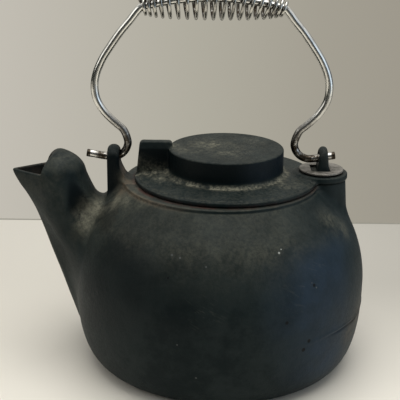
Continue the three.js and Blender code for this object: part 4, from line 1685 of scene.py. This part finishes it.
@dataclass
class WireBail:
    """The bent rod that swings in the two ears, and the coil that is wound round its top."""

    levels: Levels
    shift: float = 4.65
    rise: float = 97.7
    bulge: float = 6.45
    hook_inset: float = 13.55
    hook_radius: float = 9.8
    hook_drop: float = 0.95
    tip_reach: float = 12.15
    tip_rise: float = 1.5
    tip_round: float = 0.45
    tip_bevel: float = 0.12
    grip_length: float = 85.5
    grip_sag: float = 5.8
    coil_wire_radius: float = 1.0
    coil_bulge: float = 8.3
    coil_turns: int = 19
    pitch_swing: float = 0.33
    pitch_even: float = 0.11
    coil_gap: float = 0.3
    rod_sides: int = 28
    wire_sides: int = 12
    steps_per_turn: int = 26

    # From the grip's end down to the hook, as shares of the width and of the height
    out_shares: Row = (0.1, 0.24, 0.43, 0.64, 0.836, 0.962, 1)
    out_heights: Row = (0.969, 0.912, 0.841, 0.748, 0.65, 0.553, 0.473)
    in_shares: Row = (0.94, 0.73, 0.555, 0.355, 0.135)
    in_heights: Row = (0.387, 0.305, 0.263, 0.222, 0.178)

    def __post_init__(self) -> None:
        """Works out the span between the ears and the bail's middle."""
        self.half_span = (self.levels.rear_ear_x - self.levels.front_ear_x) / 2
        self.middle = (self.levels.rear_ear_x + self.levels.front_ear_x) / 2 - self.shift
        self.grip_half = self.grip_length / 2

    def drop(self, along: Array) -> Array:
        """How far the rod under the grip has dropped: the square of the way to the grip's end."""
        return self.grip_sag * (along / self.grip_half) ** 2

    def half_route(self) -> Array:
        """Points from the bail's middle to its rear tip.

        Formula: a parabola under the grip, the shoulder's and the neck's shares, a quarter circle
        for the hook and the tip.

        Returns:
            Distances from the middle and heights over the hinge.
        """
        end_height = self.rise - self.grip_sag
        widest, hook = self.half_span + self.bulge, self.half_span - self.hook_inset
        along = np.linspace(0, self.grip_half, 11)
        turn = np.linspace(math.pi, 1.5 * math.pi, 6)
        stretches = (
            (along, self.rise - self.drop(along)),
            (self.grip_half + (widest - self.grip_half) * np.array(self.out_shares),
             end_height * np.array(self.out_heights)),
            (hook + (widest - hook) * np.array(self.in_shares), end_height * np.array(self.in_heights)),
            (hook + self.hook_radius * (1 + np.cos(turn)),
             self.hook_radius - self.hook_drop + self.hook_radius * np.sin(turn)),
            ([self.half_span + self.tip_reach], [self.tip_rise]))
        return np.concatenate([np.stack(stretch, -1) for stretch in stretches])

    def route(self, samples: int = 12) -> Array:
        """Smooth path of the whole rod in the plane of the bail.

        Formula: a Catmull-Rom curve through the points, with knots as far apart as the square
        roots of their distances, so that it never loops between close points.

        Args:
            samples: points on each span.
        Returns:
            Places along X and heights, from the rear tip to the front tip.
        """
        half, origin = self.half_route(), [self.middle, self.levels.hinge_height]
        points = np.concatenate([(half + origin)[::-1], half[1:] * [-1, 1] + origin])
        points = np.concatenate([[2 * points[0] - points[1]], points, [2 * points[-1] - points[-2]]])
        knots = np.append(0, np.cumsum(np.sqrt(np.linalg.norm(np.diff(points, axis=0), axis=1))))
        t = np.linspace(0, 1, samples, endpoint=False)[None, :, None]
        p = [points[i:len(points) - 3 + i, None] for i in range(4)]
        k = [knots[i:len(points) - 3 + i, None, None] for i in range(4)]
        now = k[1] + (k[2] - k[1]) * t
        a = [((k[i + 1] - now) * p[i] + (now - k[i]) * p[i + 1]) / (k[i + 1] - k[i]) for i in range(3)]
        b = [((k[i + 2] - now) * a[i] + (now - k[i]) * a[i + 1]) / (k[i + 2] - k[i]) for i in range(2)]
        curve = ((k[2] - now) * b[0] + (now - k[1]) * b[1]) / (k[2] - k[1])
        return np.concatenate([curve.reshape(-1, 2), points[-2:-1]])

    def build_rod(self, finish: bpy.types.Material) -> None:
        """Bends the rod and dresses it, which stands for the node bail.

        Formula: the section goes along the route and narrows twice at both tips. Grime lies low
        on the hooks, less on the tips and most on their cut ends.

        Args:
            finish: its material.
        """
        flat = self.route()
        heading = unit(np.gradient(flat, axis=0))
        insets = np.array([[0.0], [self.tip_bevel], [self.tip_round]])
        flat = np.concatenate([flat[0] + heading[0] * insets, flat[1:-1],
                               flat[-1] - heading[-1] * insets[::-1]])
        heading = unit(np.gradient(flat, axis=0))
        path, tangent = (np.stack([v[:, 0], np.zeros(len(v)), v[:, 1]], -1) for v in (flat, heading))
        radius = np.full(len(flat), self.levels.rod_radius)
        radius[[0, -1]] -= self.tip_round
        radius[[1, -2]] -= self.tip_bevel
        rod = sweep(path, tangent, np.tile([0.0, 1.0, 0.0], (len(flat), 1)), radius, self.rod_sides)
        low = 1 - smooth_step(rod.points[:, 2] - self.levels.hinge_height, 8, 34)
        beyond = np.abs(rod.points[:, 0] - self.middle) - self.half_span
        tips = smooth_step(beyond, 4, 8)
        cut_ends = smooth_step(beyond, self.tip_reach - 2.4, self.tip_reach - 1.3)
        rod.shades["grime_and_shade"] = np.maximum(low * (1 - 0.8 * tips), 1.8 * cut_ends)
        piece = add_piece("bail_rod", rod, finish, Body.BAIL)
        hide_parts("bail")

    def build_coil(self, finish: bpy.types.Material) -> None:
        """Winds the grip's wire and dresses it, which stands for the node coil_grip.

        Formula: the wire turns round the rod's sagging middle at a radius that swells as a sine
        from end to end, while its pitch is narrow at the ends and even in the middle. Painted
        shade lies on the wire's inner side, towards the rod, and a little everywhere.

        Args:
            finish: its material.
        """
        share = np.linspace(0, 1, self.coil_turns * self.steps_per_turn + 1)
        phase = 2 * math.pi * share
        swing = self.pitch_swing * np.sin(phase) + self.pitch_even * np.sin(2 * phase) / 2
        along = self.grip_length * (share - swing / (2 * math.pi)) - self.grip_half
        lean = -2 * self.grip_sag * along / self.grip_half**2
        up = unit(np.stack([-lean, np.zeros_like(lean), np.ones_like(lean)], -1))
        tight = (self.levels.rod_radius + self.coil_gap + self.coil_wire_radius) / math.cos(math.pi / 8)
        radius = tight + self.coil_bulge * np.sin(math.pi * share)
        angle = self.coil_turns * phase
        out = up * np.cos(angle)[:, None] + np.array([0.0, 1.0, 0.0]) * np.sin(angle)[:, None]
        middle = np.stack([self.middle + along, np.zeros_like(along),
                           self.levels.hinge_height + self.rise - self.drop(along)], -1)
        path = middle + out * radius[:, None]
        tangent = unit(np.gradient(path, axis=0))
        wire = np.full(len(path), self.coil_wire_radius)
        wire[[0, -1]] *= 0.7
        coil = sweep(path, tangent, unit(np.cross(tangent, out)), wire, self.wire_sides)
        # Painted shade on the wire's inner side, towards the rod, and a little everywhere
        rings = coil.points[:-2].reshape(len(path), self.wire_sides, 3) - path[:, None]
        inward = -np.sum(rings * out[:, None], axis=2).ravel() / self.coil_wire_radius
        coil.shades["grime_and_shade"] = np.append(0.15 + 0.85 * smooth_step(inward, -0.25, 0.6), [0.2, 0.2])
        piece = add_piece("grip_coil", coil, finish, Body.BAIL)
        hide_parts("coil_grip")


# The studio


@dataclass(frozen=True)
class Lamp:
    """A square soft lamp: its place and side in millimetres, its power in watts and its colour."""

    name: str
    place: Triple
    size: float
    power: float
    colour: Triple


@dataclass
class Studio:
    """Table, room light, lamps and the camera at the photograph's angle."""

    camera_place: Triple = (-13.0, -600.0, 307.0)
    camera_pitch: float = 18.84
    camera_roll: float = 0.67
    lens: float = 90.0
    sensor: float = 36.0
    table_half_width: float = 2500.0
    table_near_edge: float = -500.0
    table_far_edge: float = 242.0
    # Painted shadow line along the table's far edge: its width here, its colour below
    table_shadow_line_width: float = 3.5
    table_colour: Triple = (0.65, 0.62, 0.557)
    # Shares of the table's colour for painted shade at the far right and painted light at the front
    table_right_shade_share: float = 0.68
    table_near_light_share: float = 1.31
    shadow_line_colour: Triple = (0.27, 0.26, 0.22)
    lamp_target: Triple = (0.0, 0.0, 80.0)
    lamps: tuple[Lamp, ...] = (
        Lamp("ceiling", (70, -90, 1200), 950, 8.5, (1.0, 0.985, 0.95)),
        Lamp("right_window", (1100, -400, 400), 1000, 1.6, (0.90, 0.95, 1.0)),
        Lamp("low_window", (1000, -560, 190), 800, 1.7, (0.60, 0.79, 1.0)),
        Lamp("left_window", (-860, -330, 540), 480, 1.15, (1.0, 0.99, 0.95)),
        Lamp("tube", (-260, -720, 1150), 140, 0.3, (1.0, 0.99, 0.97)))
    wall_colours: Stops = (
        (0.0, (0.55, 0.52, 0.46)), (0.5, (0.43, 0.41, 0.345)), (0.8, (0.365, 0.342, 0.285)),
        (1.0, (0.34, 0.315, 0.262)))
    room_heights: Stops = (
        (0.0, (0.22, 0.22, 0.20)), (0.12, (0.22, 0.22, 0.20)), (0.2, (0.32, 0.31, 0.29)),
        (0.34, (0.42, 0.41, 0.39)), (0.5, (0.95, 0.94, 0.90)), (1.0, (1.5, 1.48, 1.42)))
    room_sides: Stops = (
        (0.0, (0.16, 0.19, 0.17)), (0.22, (0.22, 0.26, 0.23)), (0.42, (1, 1, 1)), (0.58, (1, 1, 1)),
        (0.78, (0.74, 0.84, 1.0)), (1.0, (0.60, 0.72, 0.90)))
    room_depths: Stops = (
        (0.0, (0.24, 0.25, 0.26)), (0.35, (0.34, 0.35, 0.36)), (0.6, (0.9, 0.9, 0.9)),
        (1.0, (1.0, 1.0, 1.0)))
    room_strength: float = 0.75

    def build(self) -> None:
        """Sets the whole studio up."""
        self.add_camera()
        self.add_table()
        self.add_room()
        for lamp in self.lamps:
            self.add_lamp(lamp)

    def add_camera(self) -> None:
        """Places the camera: looks along +Y, pitched down, then rolled about its own axis."""
        pitch, roll = math.radians(self.camera_pitch), math.radians(self.camera_roll)
        ahead, right = Vector((0, math.cos(pitch), -math.sin(pitch))), Vector((1, 0, 0))
        up = right.cross(ahead)
        turned_right = right * math.cos(roll) + up * math.sin(roll)
        turned_up = up * math.cos(roll) - right * math.sin(roll)
        camera = bpy.data.objects.new("camera", bpy.data.cameras.new("camera"))
        camera.data.lens, camera.data.sensor_width = self.lens, self.sensor
        camera.data.clip_start = 0.01
        place = Matrix((turned_right, turned_up, -ahead)).transposed().to_4x4()
        place.translation = Vector(self.camera_place) * MM
        camera.matrix_world = place
        bpy.context.scene.collection.objects.link(camera)
        bpy.context.scene.camera = camera

    def add_table(self) -> None:
        """A pale table top that ends a little behind the kettle, with painted light and shade."""
        half, near, far = (self.table_half_width * MM, self.table_near_edge * MM, self.table_far_edge * MM)
        corners = [(-half, near, 0), (half, near, 0), (half, far, 0), (-half, far, 0)]
        mesh = bpy.data.meshes.new("table")
        mesh.from_pydata(corners, [], [(0, 1, 2, 3)])
        book = NodeBook("table_paint")
        across, ahead = book.part(book.place, "X"), book.part(book.place, "Y")
        # Painted shade towards the far right and painted light towards the front
        table_shaded_colour, table_lit_colour = (tuple(min(1.0, c * share) for c in self.table_colour)
                            for share in (self.table_right_shade_share, self.table_near_light_share))
        colour = book.blend(book.span(across, -0.15, 0.25), self.table_colour, table_shaded_colour)
        colour = book.blend(book.span(ahead, 0.12, -0.10), colour, table_lit_colour)
        # Painted shadow line along the far edge, where the table meets the wall
        rim = (self.table_far_edge - self.table_shadow_line_width) * MM
        colour = book.blend(book.span(ahead, rim, rim + MM), colour, self.shadow_line_colour)
        mesh.materials.append(book.finish(colour, 0.55, Specular_IOR_Level=0.25))
        table = bpy.data.objects.new("table", mesh)
        bpy.context.scene.collection.objects.link(table)

    def add_room(self) -> None:
        """Room light: bright overhead, dim in front, and the wall's own colours behind the table.

        Formula: the light that the kettle sees rises with the direction's height and falls towards
        the front and, low down, towards both sides. The camera sees a wall that darkens evenly from
        left to right, and so do mirrored and refracted rays that go straight back.
        """
        world = bpy.data.worlds.new("room")
        bpy.context.scene.world = world
        world.use_nodes = True
        world.node_tree.nodes.clear()
        book = Wiring(world.node_tree)
        ray = book.add("TexCoord").outputs["Generated"]
        across, ahead, up = (book.part(ray, axis) for axis in "XYZ")
        wall = book.add("Background", {"Color": book.ramp(across, -0.22, 0.2, self.wall_colours)})
        above_table = book.span(up, -0.12, 0.02, way="LINEAR")
        seen = book.blend(above_table, book.ramp(up, -0.2, 1.0, self.room_heights),
                          book.ramp(ahead, -1.0, 1.0, self.room_depths), "MULTIPLY")
        low_down = book.span(up, 0.4, 0.15, way="LINEAR")
        seen = book.blend(low_down, seen, book.ramp(across, -1.0, 1.0, self.room_sides), "MULTIPLY")
        light = book.add("Background", {"Color": seen, "Strength": self.room_strength})
        path = book.add("LightPath").outputs
        mirrored = book.math("MAXIMUM", path["Is Glossy Ray"], path["Is Transmission Ray"])
        mirrored = book.times(mirrored, book.span(ahead, 0.86, 0.95, way="LINEAR"))
        shown = book.math("MAXIMUM", path["Is Camera Ray"], mirrored)
        mix = book.add("MixShader", {0: shown, 1: light.outputs[0], 2: wall.outputs[0]})
        book.add("OutputWorld", {0: mix.outputs[0]})

    def add_lamp(self, lamp: Lamp) -> None:
        """Hangs a lamp up, facing the kettle.

        Args:
            lamp: the lamp.
        """
        data = bpy.data.lights.new(lamp.name, "AREA")
        data.energy, data.size, data.color = lamp.power, lamp.size * MM, lamp.colour
        hung = bpy.data.objects.new(lamp.name, data)
        hung.location = Vector(lamp.place) * MM
        towards = Vector(self.lamp_target) * MM - hung.location
        hung.rotation_euler = towards.to_track_quat("-Z", "Y").to_euler()
        bpy.context.scene.collection.objects.link(hung)


def main() -> None:
    logging.basicConfig(level=logging.INFO, format="%(name)s %(message)s")
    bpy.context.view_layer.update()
    bpy.context.scene.view_settings.view_transform = "Standard"
    Studio().build()
    levels = Levels()
    KettleCasting(levels).build(SeasonedIron("seasoned_iron", marks=SPECKS).make())
    lid_iron = SeasonedIron("seasoned_lid_iron", dust=(0.182, 0.176, 0.134), dustiness=0.070, speckle=0.8)
    SwivelLid(levels).build(lid_iron.make())
    SlottedWasher(levels).build(DullSteel("darkened_steel").make())
    bail = WireBail(levels)
    bail.build_rod(BrightPlating("bright_rod").make())
    coil_plating = BrightPlating("bright_coil", silver=(0.56, 0.55, 0.51), dull=(0.26, 0.25, 0.23))
    bail.build_coil(coil_plating.make())


if __name__ == "__main__":
    main()
